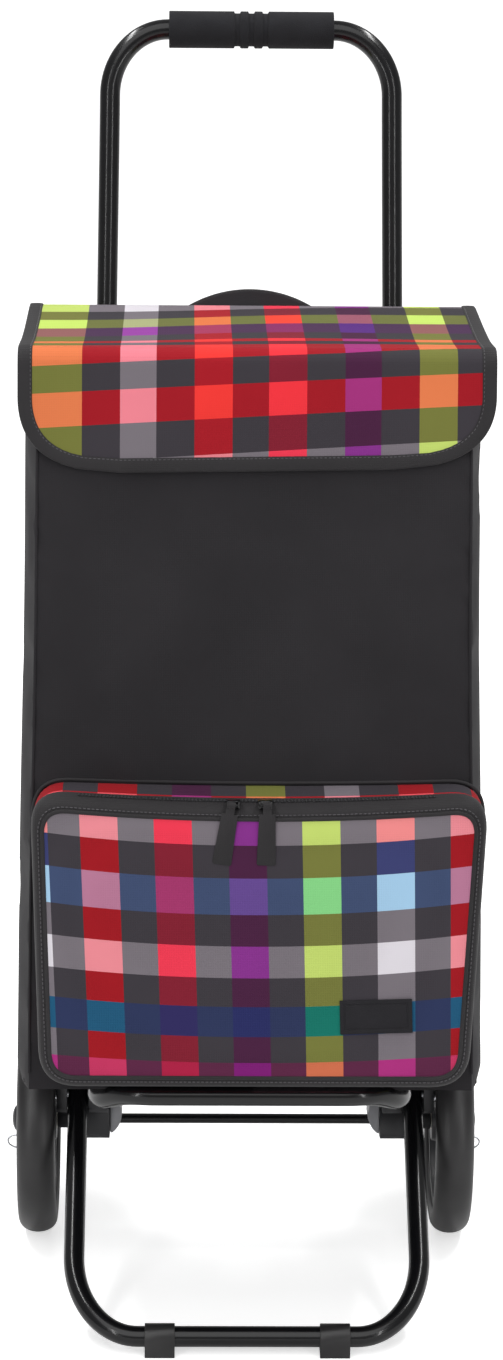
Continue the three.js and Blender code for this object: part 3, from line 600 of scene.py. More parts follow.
def swollen(piece, pinned, pressure, most, frames=14):
    """Lets the cloth swell under light pressure, holds the pinned vertices, and caps each move."""
    before = [vertex.co.copy() for vertex in piece.data.vertices]
    held = piece.vertex_groups.new(name="held")
    held.add(pinned, 1.0, "REPLACE")
    cloth = piece.modifiers.new("swell", "CLOTH")
    cloth.settings.quality = 6
    cloth.settings.mass = 0.3
    cloth.settings.effector_weights.gravity = 0
    cloth.settings.use_pressure = True
    cloth.settings.uniform_pressure_force = pressure
    cloth.settings.vertex_group_mass = "held"
    cloth.settings.shrink_min = -0.012
    cloth.settings.tension_stiffness = 40
    cloth.settings.bending_stiffness = 6
    cloth.point_cache.frame_end = frames
    for step in range(1, frames + 1):
        bpy.context.scene.frame_set(step)
    select_only(piece)
    bpy.ops.object.modifier_apply(modifier="swell")
    for vertex, old in zip(piece.data.vertices, before):
        move = vertex.co - old
        if move.length > most:
            vertex.co = old + move.normalized() * most
    bpy.context.scene.frame_set(1)
    piece.vertex_groups.clear()


black_polyester = woven("black_600d_polyester", "#1b191c", "#262427", 1.3, 0.15, 0.85, 0.04)

bpy.ops.mesh.primitive_cube_add(size=1)
bag = bpy.context.object
bag.name = "bag_shell"
edit_all(bag)
bpy.ops.mesh.select_all(action="DESELECT")
bpy.ops.object.mode_set(mode="OBJECT")
for face in bag.data.polygons:
    face.select = face.normal.z > 0.9
bpy.ops.object.mode_set(mode="EDIT")
bpy.ops.mesh.delete(type="ONLY_FACE")
bpy.ops.mesh.select_all(action="SELECT")
bpy.ops.mesh.subdivide(number_cuts=43)
bpy.ops.object.mode_set(mode="OBJECT")
held, seam_right, seam_left, rim = [], [], [], []
for vertex in bag.data.vertices:
    across, depth, share = 2 * vertex.co.x, -2 * vertex.co.y, vertex.co.z + 0.5
    upright = abs(across) > 0.999 and abs(depth) > 0.999
    if share > 0.999:
        rim.append((math.atan2(depth, across), vertex.index))
    if upright and depth > 0 and share > 0.02:
        (seam_right if across > 0 else seam_left).append((share, vertex.index))
    if share > 0.999 or share < 0.001 or depth < -0.999 or upright:
        held.append(vertex.index)
    vertex.co = bag_point(across, depth, share)
swollen(bag, held, 2.0, 3 * MM)


def every_third(found):
    """The places of every third vertex of the bag, from (order, index) pairs."""
    return [bag.data.vertices[i].co.copy() for order, i in sorted(found)][::3]


seam_paths = [every_third(seam_right), every_third(seam_left)]
rim_path = every_third(rim)
sewn(bag, 1.6, -1, black_polyester, "frame_and_bag", "black_polyester", "bag_body")

# Narrow woven tape is sewn over the raw edges: round the rim, and down the two front seams.
binding_tape = woven("polyester_binding_tape", "#1d1b1d", "#2a282a", 1.6, 0.35, 0.7, 0.06)
for side, path in zip(("right", "left"), seam_paths):
    piping = swept(f"front_seam_{side}", [point + leaned(0, 0.4, 0) for point in path], 1.1 * MM)
    fit(piping, black_polyester, "frame_and_bag", "black_webbing")
    folds_flat(piping)
rim_tape = swept("rim_binding", rim_path, 2.2 * MM, closed=True)
fit(rim_tape, binding_tape, "frame_and_bag", "black_webbing")
folds_flat(rim_tape)

# A stiff board in the bottom keeps the bag's base flat on the platform.
fibre_board = moulded("pressed_fibre_board", "#2f2e2f", "#454345", 0.8, 1.5, 0.3)
board = refined("base_board", "bottom_board", 0.8)
fit(board, fibre_board, "frame_and_bag", "stiff_board", "base_board")
folds_flat(board)

# Fabric loops at the back, which the main legs pass through, are cut from the same tape.
for height in ("lower", "upper"):
    for side in ("right", "left"):
        loop = refined(f"leg_strap_{height}_{side}", f"leg_loop_{height}_{side}", 0.5)
        fit(loop, binding_tape, "frame_and_bag", "black_webbing", f"leg_strap_{height}_{side}")

# The lid is sewn on along a rolled hem at the top of the back.
hem_line = [leaned(x, BAG_BACK, BAG_TOP_BACK + 1.5) for x in (-166, -80, 0, 80, 166)]
hem = swept("flap_hinge_hem", hem_line, 2.4 * MM)
fit(hem, binding_tape, "frame_and_bag", "black_webbing")
folds_flat(hem)

# A bound half-round tab stands up behind the lid, to hang the bag by.
TAB_RADIUS, TAB_TOP, TAB_AHEAD, TAB_SPREAD, TAB_KNOTS = 95, 672, 10.2, 52, 16
tab = refined("hanging_tab", "hanging_tab_cloth", 0.6)
fit(tab, black_polyester, "frame_and_bag", "black_polyester", "hanging_tab")
folds_flat(tab)
arch = []
for i in range(TAB_KNOTS + 1):
    angle = math.radians(TAB_SPREAD * (2 * i / TAB_KNOTS - 1))
    up = TAB_TOP - TAB_RADIUS * (1 - math.cos(angle)) - 1
    arch.append(leaned(TAB_RADIUS * math.sin(angle), TAB_AHEAD, up))
tab_edge = swept("hanging_tab_binding", arch, 2.2 * MM)
fit(tab_edge, binding_tape, "frame_and_bag", "black_webbing")
folds_flat(tab_edge)

# ---------------------------------------------------------------- checked cloth
# The flap and the pocket are the same polyester printed with many-coloured squares. Each square's
# colour comes from the stripe that runs up through it and the stripe that runs across.
SQUARES = {
    "dusk": {"dark": "#3e3a40", "rose": "#a5121e", "coral": "#871c30", "purple": "#4b1e41",
             "lime": "#7a7d3c", "ice": "#7d767d", "scarlet": "#ad1624"},
    "mist": {"dark": "#7d767d", "rose": "#f5919b", "coral": "#fa3c55", "purple": "#8c3291",
             "lime": "#cbe173", "ice": "#e6e1e8", "scarlet": "#f58c96"},
    "blue": {"dark": "#415073", "rose": "#be7d9b", "coral": "#aa376e", "purple": "#694b96",
             "lime": "#8cdc8c", "ice": "#aad2f0", "scarlet": "#b4507d"},
    "navy": {"dark": "#2d375c", "rose": "#1e5a7d", "coral": "#302a60", "purple": "#282d64",
             "lime": "#0f7869", "ice": "#1e5a7d", "scarlet": "#2d2d5f"},
    "plum": {"dark": "#5f2546", "rose": "#cd3764", "coral": "#b41e46", "purple": "#821978",
             "lime": "#d77350", "ice": "#b43282", "scarlet": "#c8325a"},
    "red": {"dark": "#a81422", "rose": "#fa5a64", "coral": "#fb3540", "purple": "#aa3280",
            "lime": "#ee8250", "ice": "#f88a98", "scarlet": "#fb3a35"},
    "violet": {"dark": "#4b2d50", "rose": "#a0325a", "coral": "#8c2864", "purple": "#5a2882",
               "lime": "#96605f", "ice": "#9b41a5", "scarlet": "#aa375f"},
    "olive": {"dark": "#70753d", "rose": "#e68246", "coral": "#fb4632", "purple": "#a05a6e",
              "lime": "#cdeb6e", "ice": "#afb482", "scarlet": "#eb7d46"},
}
# The pocket's first two rows have a pink and an indigo square where the pale stripe crosses them.
SQUARES["first"] = {**SQUARES["mist"], "ice": "#fa9191"}
SQUARES["second"] = {**SQUARES["dusk"], "ice": "#3c4173"}


def checked_cloth(name, columns, rows, left_mm, top_mm):
    """Printed squares over the piece's own flat pattern. Columns and rows are (stripe, millimetres)."""
    material, tree, shader = new_material(
        name, Roughness=0.8, Sheen_Weight=0.02, Specular_IOR_Level=0.15)
    flat = add_node(tree, "ShaderNodeUVMap", uv_map="UVMap").outputs[0]
    axes = add_node(tree, "ShaderNodeSeparateXYZ", {"Vector": flat})
    width = sum(wide for stripe, wide in columns)
    height = sum(tall for stripe, tall in rows)
    along = add_node(tree, "ShaderNodeMapRange", {
        "Value": axes.outputs[0], "From Min": left_mm * MM, "From Max": (left_mm + width) * MM,
    }).outputs[0]
    down = add_node(tree, "ShaderNodeMapRange", {
        "Value": axes.outputs[1], "From Min": top_mm * MM, "From Max": (top_mm + height) * MM,
    }).outputs[0]
    ramps = {}
    for row in dict(rows):
        ramp = add_node(tree, "ShaderNodeValToRGB", {"Fac": along})
        ramp.color_ramp.interpolation = "CONSTANT"
        stops = ramp.color_ramp.elements
        start = 0.0
        for i, (stripe, wide) in enumerate(columns):
            stop = stops[i] if i < 2 else stops.new(start / width)
            stop.position = start / width
            stop.color = linear(SQUARES[row][stripe])
            start += wide
        ramps[row] = ramp.outputs[0]
    colour = ramps[rows[0][0]]
    start = 0.0
    for (stripe, tall), (after, next_tall) in zip(rows, rows[1:]):
        start += tall
        past = add_node(tree, "ShaderNodeMath", {0: down, 1: start / height}, operation="GREATER_THAN")
        mix = add_node(tree, "ShaderNodeMix", data_type="RGBA")
        for value, socket in ((past.outputs[0], 0), (colour, 6), (ramps[after], 7)):
            tree.links.new(value, mix.inputs[socket])
        colour = mix.outputs[2]
    where = object_axes(tree)
    threads = weave_height(tree, where, 1.3)
    wear = add_node(tree, "ShaderNodeTexNoise", {"Vector": where, "Scale": 14.0, "Detail": 6.0}).outputs[0]
    worn = add_node(tree, "ShaderNodeMapRange", {"Value": wear, "To Min": 0.72, "To Max": 0.82}).outputs[0]
    shade = add_node(tree, "ShaderNodeMath", {0: threads, 1: -0.1, 2: worn}, operation="MULTIPLY_ADD")
    printed = add_node(tree, "ShaderNodeVectorMath", {0: colour}, operation="SCALE")
    tree.links.new(shade.outputs[0], printed.inputs["Scale"])
    tree.links.new(printed.outputs[0], shader.inputs["Base Color"])
    bumped(tree, shader, threads, 0.3, 0.0004)
    return material


def lofted(name, sections, flat=None, closed=False):
    """A skin through equal sections of points in the leaning axes, with its flat pattern as its UVs."""
    count = len(sections[0])
    bpy.ops.mesh.primitive_grid_add(x_subdivisions=count - 1, y_subdivisions=len(sections) - 1, size=2)
    piece = bpy.context.object
    piece.name = name
    spots = []
    for vertex in piece.data.vertices:
        spots.append((
            round((vertex.co.y + 1) / 2 * (len(sections) - 1)),
            round((vertex.co.x + 1) / 2 * (count - 1)),
        ))
    for vertex, (row, column) in zip(piece.data.vertices, spots):
        vertex.co = sections[row][column]
    if flat:
        layer = piece.data.uv_layers[0]
        layer.name = "UVMap"
        for loop in piece.data.loops:
            layer.data[loop.index].uv = flat(*spots[loop.vertex_index])
    if closed:
        edit_all(piece)
        bpy.ops.mesh.remove_doubles(threshold=1e-6)
        bpy.ops.object.mode_set(mode="OBJECT")
    return piece


# ---------------------------------------------------------------- lid flap
# One cloth panel is sewn to the back of the bag, lies over the mouth and folds down over the front.
# Its free edges are bound with a folded black tape 11 mm wide, held by a row of stitches.
FLAP_BACK, FLAP_FOLD, FLAP_FRONT, FLAP_HALF, FLAP_ASKEW = 660, 627, 254.0, 175, 2
FLAP_BOTTOM, FLAP_ROUND, FLAP_ROUND_ACROSS = 538, 54, 75
FLAP_START, FOLD_ROUND, ROOF_DIP = 15, 13, 2.5
ROOF_STEPS, FOLD_STEPS, APRON_STEPS = 15, 8, 24
flap_side = [(FLAP_START, FLAP_BACK - 1)]
for i in range(1, ROOF_STEPS):
    share = i / ROOF_STEPS
    flap_side.append((FLAP_START + (FLAP_FRONT - FOLD_ROUND - FLAP_START) * share,
                      FLAP_BACK + (FLAP_FOLD - FLAP_BACK) * share - ROOF_DIP * math.sin(math.pi * share)))
for i in range(FOLD_STEPS + 1):
    angle = math.pi / 2 * i / FOLD_STEPS
    flap_side.append((FLAP_FRONT - FOLD_ROUND * (1 - math.sin(angle)),
                      FLAP_FOLD - FOLD_ROUND * (1 - math.cos(angle))))
apron_top = FLAP_FOLD - FOLD_ROUND
for i in range(1, APRON_STEPS + 1):
    flap_side.append((FLAP_FRONT, apron_top + (FLAP_BOTTOM - apron_top) * i / APRON_STEPS))
flap_run = [0.0]
for (n1, s1), (n2, s2) in zip(flap_side, flap_side[1:]):
    flap_run.append(flap_run[-1] + math.hypot(n2 - n1, s2 - s1))
FOLD_AT = flap_run[ROOF_STEPS + FOLD_STEPS // 2]


def flap_half(up):
    """Half the flap's width at a height, drawn in by its two round corners."""
    above = up - FLAP_BOTTOM
    if above >= FLAP_ROUND:
        return FLAP_HALF
    share = 1 - math.sqrt(max(0.0, 1 - (FLAP_ROUND - above) / FLAP_ROUND))
    return FLAP_HALF - FLAP_ROUND_ACROSS * share ** 2


def flap_point(x, station):
    """A point of the flap's middle surface: station counts along its side outline."""
    ahead, up = flap_side[station]
    reach = flap_run[station] / flap_run[-1]
    roof = max(0.0, 1 - flap_run[station] / FOLD_AT)
    ripple = 2.2 * gentle(1.4 * x, 60, 300 * reach) * min(1.0, 4 * roof) * (1 - (2 * roof - 1) ** 4)
    apron = max(0.0, (flap_run[station] - FOLD_AT) / (flap_run[-1] - FOLD_AT))
    swing = 1.6 * gentle(0.9 * x + 70, 40, 30) * apron
    tilt = 3.0 * apron * x / FLAP_HALF
    if roof:
        return leaned(x + FLAP_ASKEW, ahead, up + ripple)
    return leaned(x + FLAP_ASKEW, ahead + swing, up + tilt)


ACROSS_STEPS = 72
flap_sections = []
for station, (ahead, up) in enumerate(flap_side):
    half = FLAP_HALF if flap_run[station] < FOLD_AT else flap_half(up)
    places = [half * (2 * i / ACROSS_STEPS - 1) for i in range(ACROSS_STEPS + 1)]
    flap_sections.append([flap_point(x, station) for x in places])


ROOF_SQUEEZE, ROW_SLOPE = 0.55, 0.048


def flap_flat(row, column):
    """The roof's squares are longer from front to back than the apron's, and the rows run askew."""
    run = flap_run[row] - FOLD_AT
    across = flap_sections[row][column].x
    return across, (run * ROOF_SQUEEZE if run < 0 else run) * MM + ROW_SLOPE * across


SQUARE = 27.57
flap_columns = [(stripe, SQUARE) for stripe in (
    "lime", "lime", "dark", "ice", "dark", "scarlet", "dark", "coral", "dark", "purple", "dark", "lime",
    "dark")]
flap_rows = [("mist", 25), ("dusk", 20), ("olive", 22), ("violet", 24), ("dusk", 18), ("red", 8),
             ("dusk", 10), ("red", 18), ("dusk", 19.5), ("red", 24.5), ("dusk", 26), ("mist", 24)]
flap_cloth = checked_cloth("checked_polyester_flap", flap_columns, flap_rows, -182.7, -142)
flap = lofted("lid_flap_cloth", flap_sections, flap_flat)
sewn(flap, 2.0, 0, flap_cloth, "flap", "checked_polyester", "lid_flap")

TAPE_WIDE, TAPE_THICK = 11.0, 4.4


def tape_section(edge, inward, outward):
    """A flattened loop of tape that wraps an edge; inward and outward are unit directions."""
    loop = []
    for i in range(13):
        angle = 2 * math.pi * i / 12
        lean_in, rise = math.cos(angle), math.sin(angle)
        wide = math.copysign(abs(lean_in) ** 0.5, lean_in) * TAPE_WIDE / 2
        thick = math.copysign(abs(rise) ** 0.5, rise) * TAPE_THICK / 2
        loop.append(edge + inward * (TAPE_WIDE / 2 - 1 + wide) * MM + outward * thick * MM)
    return loop


def bound_edge(path, inner, outward):
    """Tape sections along a path; inner holds a point on the cloth inside each point of the path."""
    return [tape_section(edge, (inside - edge).normalized(), out)
            for edge, inside, out in zip(path, inner, outward)]


edge_path, edge_inner, edge_out = [], [], []
roof_out = leaned(0, 0, 1).normalized()
apron_out = leaned(0, 1, 0).normalized()
last = len(flap_side) - 1
for sign in (-1, 1):
    stations = range(0, last) if sign < 0 else range(last - 1, -1, -1)
    for station in stations:
        half = FLAP_HALF if flap_run[station] < FOLD_AT else flap_half(flap_side[station][1])
        turn_share = min(1.0, max(0.0, (station - ROOF_STEPS + 1) / (FOLD_STEPS + 1)))
        out = (roof_out * (1 - turn_share) + apron_out * turn_share).normalized()
        edge = flap_point(sign * half, station)
        toward = flap_point(sign * (half - 20), max(0, station - (2 if half < FLAP_HALF else 0)))
        if half < FLAP_HALF:
            corner = leaned(sign * (FLAP_HALF - FLAP_ROUND_ACROSS), FLAP_FRONT, FLAP_BOTTOM + FLAP_ROUND)
            toward = edge + (corner - edge)
        edge_path.append(edge)
        edge_inner.append(toward)
        edge_out.append(out)
    if sign < 0:
        for i in range(APRON_STEPS + 1):
            x = (FLAP_HALF - FLAP_ROUND_ACROSS) * (2 * i / APRON_STEPS - 1)
            edge_path.append(flap_point(x, last))
            edge_inner.append(flap_point(x, last - 3))
            edge_out.append(apron_out)
flap_tape = lofted("lid_flap_binding", bound_edge(edge_path, edge_inner, edge_out), closed=True)
edit_all(flap_tape)
bpy.ops.mesh.normals_make_consistent(inside=False)
bpy.ops.object.mode_set(mode="OBJECT")
smooth(flap_tape, 60)
place(flap_tape)
fit(flap_tape, binding_tape, "flap", "black_webbing")
folds_flat(flap_tape)

# Polyester thread, 0.5 mm thick, is sewn in a lockstitch; each stitch is a short proud loop.
sewing_thread, tree, shader = new_material("polyester_sewing_thread", Roughness=0.55, Sheen_Weight=0.2)
where = object_axes(tree)
twist = add_node(tree, "ShaderNodeTexNoise", {"Vector": where, "Scale": 900.0})
toned(tree, shader, twist.outputs[0], "#2a282b", "#4a474c")
STITCH_MM, STITCH_RISE = 3.2, 0.5


def stitched(name, path, out):
    """A row of stitches along a path of points, each a small flattened bead raised along out."""
    corners, faces = [], []
    travelled, due = 0.0, 0.0
    for here, there in zip(path, path[1:]):
        step = (there - here).length
        ahead = (there - here).normalized()
        beside = ahead.cross(out).normalized()
        while due <= travelled + step:
            centre = here + ahead * (due - travelled)
            first = len(corners)
            for along, wide in ((-1.2, 0.0), (-0.7, 0.45), (0.7, 0.45), (1.2, 0.0)):
                for side, rise in ((-1, 0.0), (0, STITCH_RISE), (1, 0.0)):
                    proud = out * rise * (wide > 0)
                    corners.append(centre + (ahead * along + beside * side * wide + proud) * MM)
            for j in range(3):
                for k in range(2):
                    a = first + 3 * j + k
                    faces.append((a, a + 1, a + 4, a + 3))
            due += STITCH_MM * MM
        travelled += step
    mesh = bpy.data.meshes.new(name)
    mesh.from_pydata(corners, [], faces)
    piece = bpy.data.objects.new(name, mesh)
    bpy.context.scene.collection.objects.link(piece)
    apply_modifier(piece, "SOLIDIFY", thickness=0.3 * MM, offset=-1)
    smooth(piece, 70)
    place(piece)
    return piece


STITCH_INSET, STITCH_PROUD = TAPE_WIDE - 2.6, TAPE_THICK / 2 - 0.35
stitch_path = []
for edge, inside, out in zip(edge_path, edge_inner, edge_out):
    inward = (inside - edge).normalized()
    stitch_path.append(edge + inward * STITCH_INSET * MM + out * STITCH_PROUD * MM)
flap_stitches = stitched("lid_flap_stitching", stitch_path, (roof_out + apron_out).normalized())
fit(flap_stitches, sewing_thread, "flap", "black_webbing")
folds_flat(flap_stitches)

# Hook and loop tape closes the flap on the front of the bag.
hook_and_loop, tree, shader = new_material("hook_and_loop_tape", Roughness=0.95, Sheen_Weight=0.5)
where = object_axes(tree)
pile = add_node(tree, "ShaderNodeTexVoronoi", {"Vector": where, "Scale": 700.0})
toned(tree, shader, pile.outputs[0], "#141416", "#3a3a3d")
bumped(tree, shader, pile.outputs[0], 0.8, 0.0008)
for node, name, body in (
    ("fastener_loop", "loop_tape", "frame_and_bag"), ("fastener_hook", "hook_tape", "flap"),
):
    strip = refined(node, name, 0.2)
    fit(strip, hook_and_loop, body, "black_webbing", node)
    folds_flat(strip)

# ---------------------------------------------------------------- front pocket
# The pocket is a shallow box of checked cloth: a front panel, and a gusset round its sides that is
# sewn to the bag. A black band with the zip in it lies between them, and its top sags a little.
POCKET_LOW, POCKET_HIGH, POCKET_BACK, POCKET_FRONT = 86, 300, 249.8, 295.5
POCKET_HALF_TOP, POCKET_HALF_LOW, POCKET_ROUND = 167.5, 157, 27
POCKET_SAG, POCKET_RISE, POCKET_SHIFT, POCKET_ASKEW = 8.0, 9.0, 2, 3.0
ZIP_FROM, ZIP_AHEAD, ZIP_HALF = 277.0, 283.5, 131


def pocket_half(up, inset=0.0):
    """Half the pocket's width at a height, with its round corners, drawn in by an inset."""
    share = (up - POCKET_LOW) / (POCKET_HIGH - POCKET_LOW)
    half = POCKET_HALF_LOW + (POCKET_HALF_TOP - POCKET_HALF_LOW) * share - inset
    corner = POCKET_ROUND - inset
    near = min(up - POCKET_LOW - inset, POCKET_HIGH - inset - up)
    if near >= corner:
        return half
    return half - corner * (1 - math.sqrt(max(0.0, 1 - (corner - near) / corner))) ** 2


def sagged(x, ahead, up):
    """Hangs a point of the empty pocket: its top dips in the middle and droops towards the front."""
    share = max(0.0, (up - POCKET_LOW) / (POCKET_HIGH - POCKET_LOW))
    forwards = (ahead - POCKET_BACK) / (POCKET_FRONT - POCKET_BACK)
    dip = POCKET_SAG * (1 - (x / POCKET_HALF_TOP) ** 2) * (0.35 + 0.65 * forwards)
    rise = POCKET_RISE * (1 - forwards)
    return leaned(x + POCKET_SHIFT + POCKET_ASKEW * share, ahead, up + (rise - dip) * share ** 1.5)


def pocket_outline(inset, steps=40):
    """Points round the pocket, from the bottom middle to the right, up, and back to the start."""
    low, high = POCKET_LOW + inset, POCKET_HIGH - inset
    right = []
    straight = pocket_half(low, inset)
    right += [(straight * i / 12, low) for i in range(12)]
    for i in range(steps + 1):
        up = low + (high - low) * (1 - math.cos(math.pi * i / steps)) / 2
        right.append((pocket_half(up, inset), up))
    straight = pocket_half(high, inset)
    right += [(straight * i / 12, high) for i in range(11, -1, -1)]
    return right + [(-x, up) for x, up in reversed(right[:-1])]


def round_pocket(profile):
    """Sections round the pocket through (inset, ahead) stations."""
    return [[sagged(x, ahead, up) for x, up in pocket_outline(inset)] for inset, ahead in profile]


outline_run = [0.0]
for (x1, s1), (x2, s2) in zip(pocket_outline(0), pocket_outline(0)[1:]):
    outline_run.append(outline_run[-1] + math.hypot(x2 - x1, s2 - s1))
GUSSET_STATIONS = [(1.5, POCKET_BACK), (0.3, 256), (0.0, 263), (0.0, 270), (0.6, 278)]
gusset = lofted(
    "pocket_gusset", round_pocket(GUSSET_STATIONS),
    lambda row, column: ((outline_run[column] - outline_run[-1] / 2) * MM, GUSSET_STATIONS[row][1] * MM),
    closed=True,
)
gusset_columns = [(stripe, 27.4) for stripe in (
    "ice", "dark", "lime", "dark", "purple", "dark", "rose", "dark", "ice", "dark", "rose", "dark", "rose",
    "dark", "ice", "dark", "lime", "dark", "purple", "dark", "rose", "dark", "rose", "dark", "ice", "dark",
    "lime", "dark", "rose", "dark")]
gusset_rows = [("dusk", 23), ("red", 20)]
gusset_cloth = checked_cloth("checked_polyester_gusset", gusset_columns, gusset_rows, -459, 250)
sewn(gusset, 1.4, -1, gusset_cloth, "frame_and_bag", "checked_polyester")

# The band that holds the zip: heavy black tape turned over the pocket's front edge.
BAND_STATIONS = [
    (-0.4, ZIP_FROM), (-1.0, 279), (-0.8, 285), (0.2, 290), (2.0, 293.4), (5.0, 295.2), (8.2, 295.4),
]
band = lofted("zip_band", round_pocket(BAND_STATIONS), closed=True)
sewn(band, 1.6, -1, binding_tape, "frame_and_bag", "black_webbing")


def pocket_edge(name, inset, ahead, radius):
    """Piping round the whole pocket."""
    outline = pocket_outline(inset)[:-1]
    piece = swept(name, [sagged(x, ahead, up) for x, up in outline], radius * MM, closed=True)
    fit(piece, binding_tape, "frame_and_bag", "black_webbing")
    folds_flat(piece)


pocket_edge("pocket_front_piping", 7.8, 296.2, 1.5)
pocket_edge("pocket_back_piping", -0.6, 251.5, 1.4)

# Front panel: flat squares that narrow towards the bottom, bulged by what the pocket holds.
PANEL_INSET, PANEL_AHEAD, PANEL_BULGE, PANEL_RIPPLE = 8.6, 295.0, 3.2, 0.9
PANEL_ROWS, PANEL_COLUMNS = 48, 64
ROW_BOW, ROWS_START = 7.5, 5.3
panel_low, panel_top = POCKET_LOW + PANEL_INSET, POCKET_HIGH - PANEL_INSET


def printed_at(x, up):
    """Where a point of the panel lies on the print: its rows bow and its columns draw together."""
    fallen = panel_top - up
    hung = x + POCKET_SHIFT + POCKET_ASKEW * (up - POCKET_LOW) / (POCKET_HIGH - POCKET_LOW)
    bend = ROW_BOW * math.sin(math.pi * (0.1 + 0.003 * fallen)) * (hung / 160) ** 2
    return (hung - fallen / 216 * (6.1 - 0.027 * hung)) * MM, (fallen + ROWS_START + bend) * MM


panel_sections, panel_pattern = [], []
for i in range(PANEL_ROWS + 1):
    up = panel_low + (panel_top - panel_low) * (1 - math.cos(math.pi * i / PANEL_ROWS)) / 2
    half = pocket_half(up, PANEL_INSET)
    section, pattern = [], []
    for j in range(PANEL_COLUMNS + 1):
        x = half * (2 * j / PANEL_COLUMNS - 1)
        tall = (up - POCKET_LOW) / (POCKET_HIGH - POCKET_LOW)
        crown = (1 - (x / POCKET_HALF_TOP) ** 4) * (1 - (2 * tall - 1) ** 4)
        bulge = crown * (PANEL_BULGE + PANEL_RIPPLE * gentle(1.6 * x, 20, 1.5 * up))
        section.append(sagged(x, PANEL_AHEAD + bulge, up))
        pattern.append(printed_at(x, up))
    panel_sections.append(section)
    panel_pattern.append(pattern)
panel_columns = [("ice", 34.0), ("dark", 24.0)] + [(stripe, 27.1) for stripe in (
    "rose", "dark", "coral", "dark", "purple", "dark", "lime", "dark", "ice", "dark", "rose")]
panel_rows = [("first", 24.4), ("second", 25.2), ("blue", 28.2), ("dusk", 24.4), ("mist", 24.4),
              ("dusk", 22.1), ("navy", 22.9), ("dusk", 19.8), ("plum", 24)]
panel_cloth = checked_cloth("checked_polyester_pocket", panel_columns, panel_rows, -185.4, 0)
panel = lofted("pocket_front_panel", panel_sections, lambda row, column: panel_pattern[row][column])
sewn(panel, 1.2, 0, panel_cloth, "frame_and_bag", "checked_polyester", "front_pocket")

seam_line = [sagged(x, 296.1, up) for x, up in pocket_outline(4.6)]
band_stitches = stitched("zip_band_stitching", seam_line, leaned(0, 1, 0).normalized())
fit(band_stitches, sewing_thread, "frame_and_bag", "black_webbing")
folds_flat(band_stitches)

# ---------------------------------------------------------------- zip
# A coil zip: nylon coil teeth on a woven tape, closed by two black enamelled sliders. Their pullers
# are short folded loops of webbing, left hanging down over the front.
TOOTH_MM, TOOTH_RADIUS, TOOTH_LONG = 2.6, 0.8, 5.4
ZIP_UP = POCKET_HIGH + 1.0
nylon_coil = moulded("nylon_zip_coil", "#18181a", "#26262a", 0.38, 0.4, 0.1)
bpy.ops.mesh.primitive_cylinder_add(
    vertices=10, radius=TOOTH_RADIUS * MM, depth=TOOTH_LONG * MM, rotation=(math.pi / 2, 0, 0))
tooth = bpy.context.object
tooth.name = "zip_teeth"
apply_modifier(tooth, "BEVEL", width=0.3 * MM, segments=1, angle_limit=math.radians(40))
place(tooth, Matrix.Identity(4))
teeth = [tooth]
for i in range(int(2 * ZIP_HALF / TOOTH_MM)):
    x = -ZIP_HALF + TOOTH_MM * (i + 0.5)
    copy = bpy.data.objects.new("tooth_copy", tooth.data.copy())
    bpy.context.scene.collection.objects.link(copy)
    copy.data.transform(Matrix.Translation(sagged(x, ZIP_AHEAD, ZIP_UP)))
    teeth.append(copy)
select_only(tooth)
tooth.data.transform(Matrix.Translation(sagged(-ZIP_HALF - TOOTH_MM / 2, ZIP_AHEAD, ZIP_UP)))
for copy in teeth:
    copy.select_set(True)
bpy.ops.object.join()
smooth(tooth, 50)
place(tooth)
fit(tooth, nylon_coil, "frame_and_bag", "black_webbing", "zip_tape")
folds_flat(tooth)

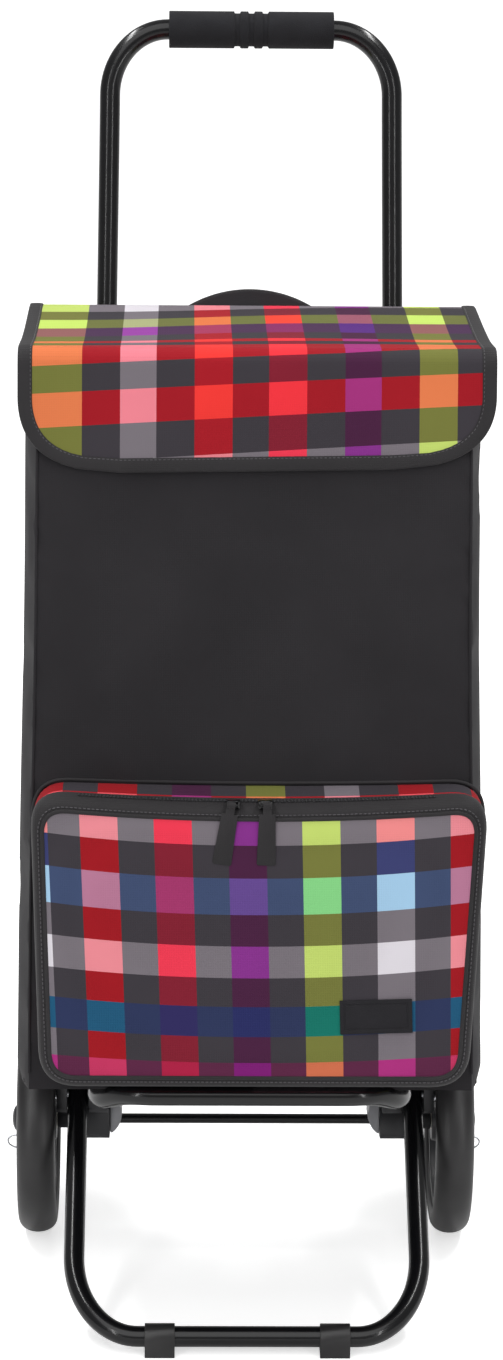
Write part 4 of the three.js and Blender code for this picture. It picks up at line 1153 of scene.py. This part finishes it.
# The sliders lie a little apart, down in the dip of the zip, and their pullers hang askew.
SLIDERS_MEET, SLIDER_APART, PULLER_PIN_AHEAD, PULLER_PIN_UP = -2.0, 7.5, 297.7, 302.5
for side, sign, spread, tilt in (("left", -1, 5.0, 9), ("right", 1, 3.5, 1)):
    hang = leaned(sign * spread, 0, 0.6 - POCKET_SAG) - leaned(0, 0, 0)
    slider = refined(f"zip_slider_{side}", f"cast_slider_{side}", 0.5)
    slider.data.transform(LEANING @ Matrix.Translation(hang) @ LEANING.inverted())
    fit(slider, powder_coat, f"slider_{side}", "zinc_steel", f"zip_slider_{side}")
    folds_flat(slider)
    puller = refined(f"zip_puller_{side}", f"webbing_puller_{side}", 0.7)
    pin = Matrix.Translation(leaned(SLIDERS_MEET + sign * SLIDER_APART, PULLER_PIN_AHEAD, PULLER_PIN_UP))
    swing = pin @ Matrix.Rotation(math.radians(tilt), 4, "Y") @ pin.inverted()
    hang += leaned(sign * 1.5, 0, 0) - leaned(0, 0, 0)
    puller.data.transform(LEANING @ Matrix.Translation(hang) @ swing @ LEANING.inverted())
    fit(puller, binding_tape, f"puller_{side}", "black_webbing", f"zip_puller_{side}")
    folds_flat(puller)

# ---------------------------------------------------------------- label patch
# A plain patch of black coated leather, hot-pressed with a border line and left without a mark.
coated_leather, tree, shader = new_material("coated_leather", Roughness=0.6, Specular_IOR_Level=0.15)
where = object_axes(tree)
pores = add_node(tree, "ShaderNodeTexVoronoi", {"Vector": where, "Scale": 900.0})
tone = add_node(tree, "ShaderNodeTexNoise", {"Vector": where, "Scale": 70.0, "Detail": 5.0})
toned(tree, shader, tone.outputs[0], "#19181b", "#232226")
bumped(tree, shader, pores.outputs[0], 0.4, 0.0005)

LABEL_WIDE, LABEL_TALL, LABEL_THICK = 53, 25, 1.5
LABEL_X, LABEL_AHEAD, LABEL_UP, LABEL_TURN = 88.2, 298.9, 140.8, -0.03
bpy.ops.mesh.primitive_cube_add(size=1)
label = bpy.context.object
label.name = "leather_label"
label.scale = (LABEL_WIDE * MM, LABEL_THICK * MM, LABEL_TALL * MM)
place(label, Matrix.Identity(4))
edit_all(label)
bpy.ops.mesh.select_all(action="DESELECT")
bpy.ops.object.mode_set(mode="OBJECT")
for face in label.data.polygons:
    face.select = face.normal.y < -0.9
bpy.ops.object.mode_set(mode="EDIT")
for inset, depth in ((2.6, 0.0), (0.5, -0.5), (0.6, 0.0), (0.5, 0.5)):
    bpy.ops.mesh.inset(thickness=inset * MM, depth=depth * MM)
bpy.ops.object.mode_set(mode="OBJECT")
apply_modifier(label, "BEVEL", width=0.25 * MM, segments=2, angle_limit=math.radians(40))
smooth(label, 50)
label_at = Matrix.Translation(sagged(LABEL_X, LABEL_AHEAD, LABEL_UP)) @ Matrix.Rotation(LABEL_TURN, 4, "Y")
place(label, LEANING @ label_at)
fit(label, coated_leather, "frame_and_bag", "label_leather", "label_patch")
folds_flat(label)
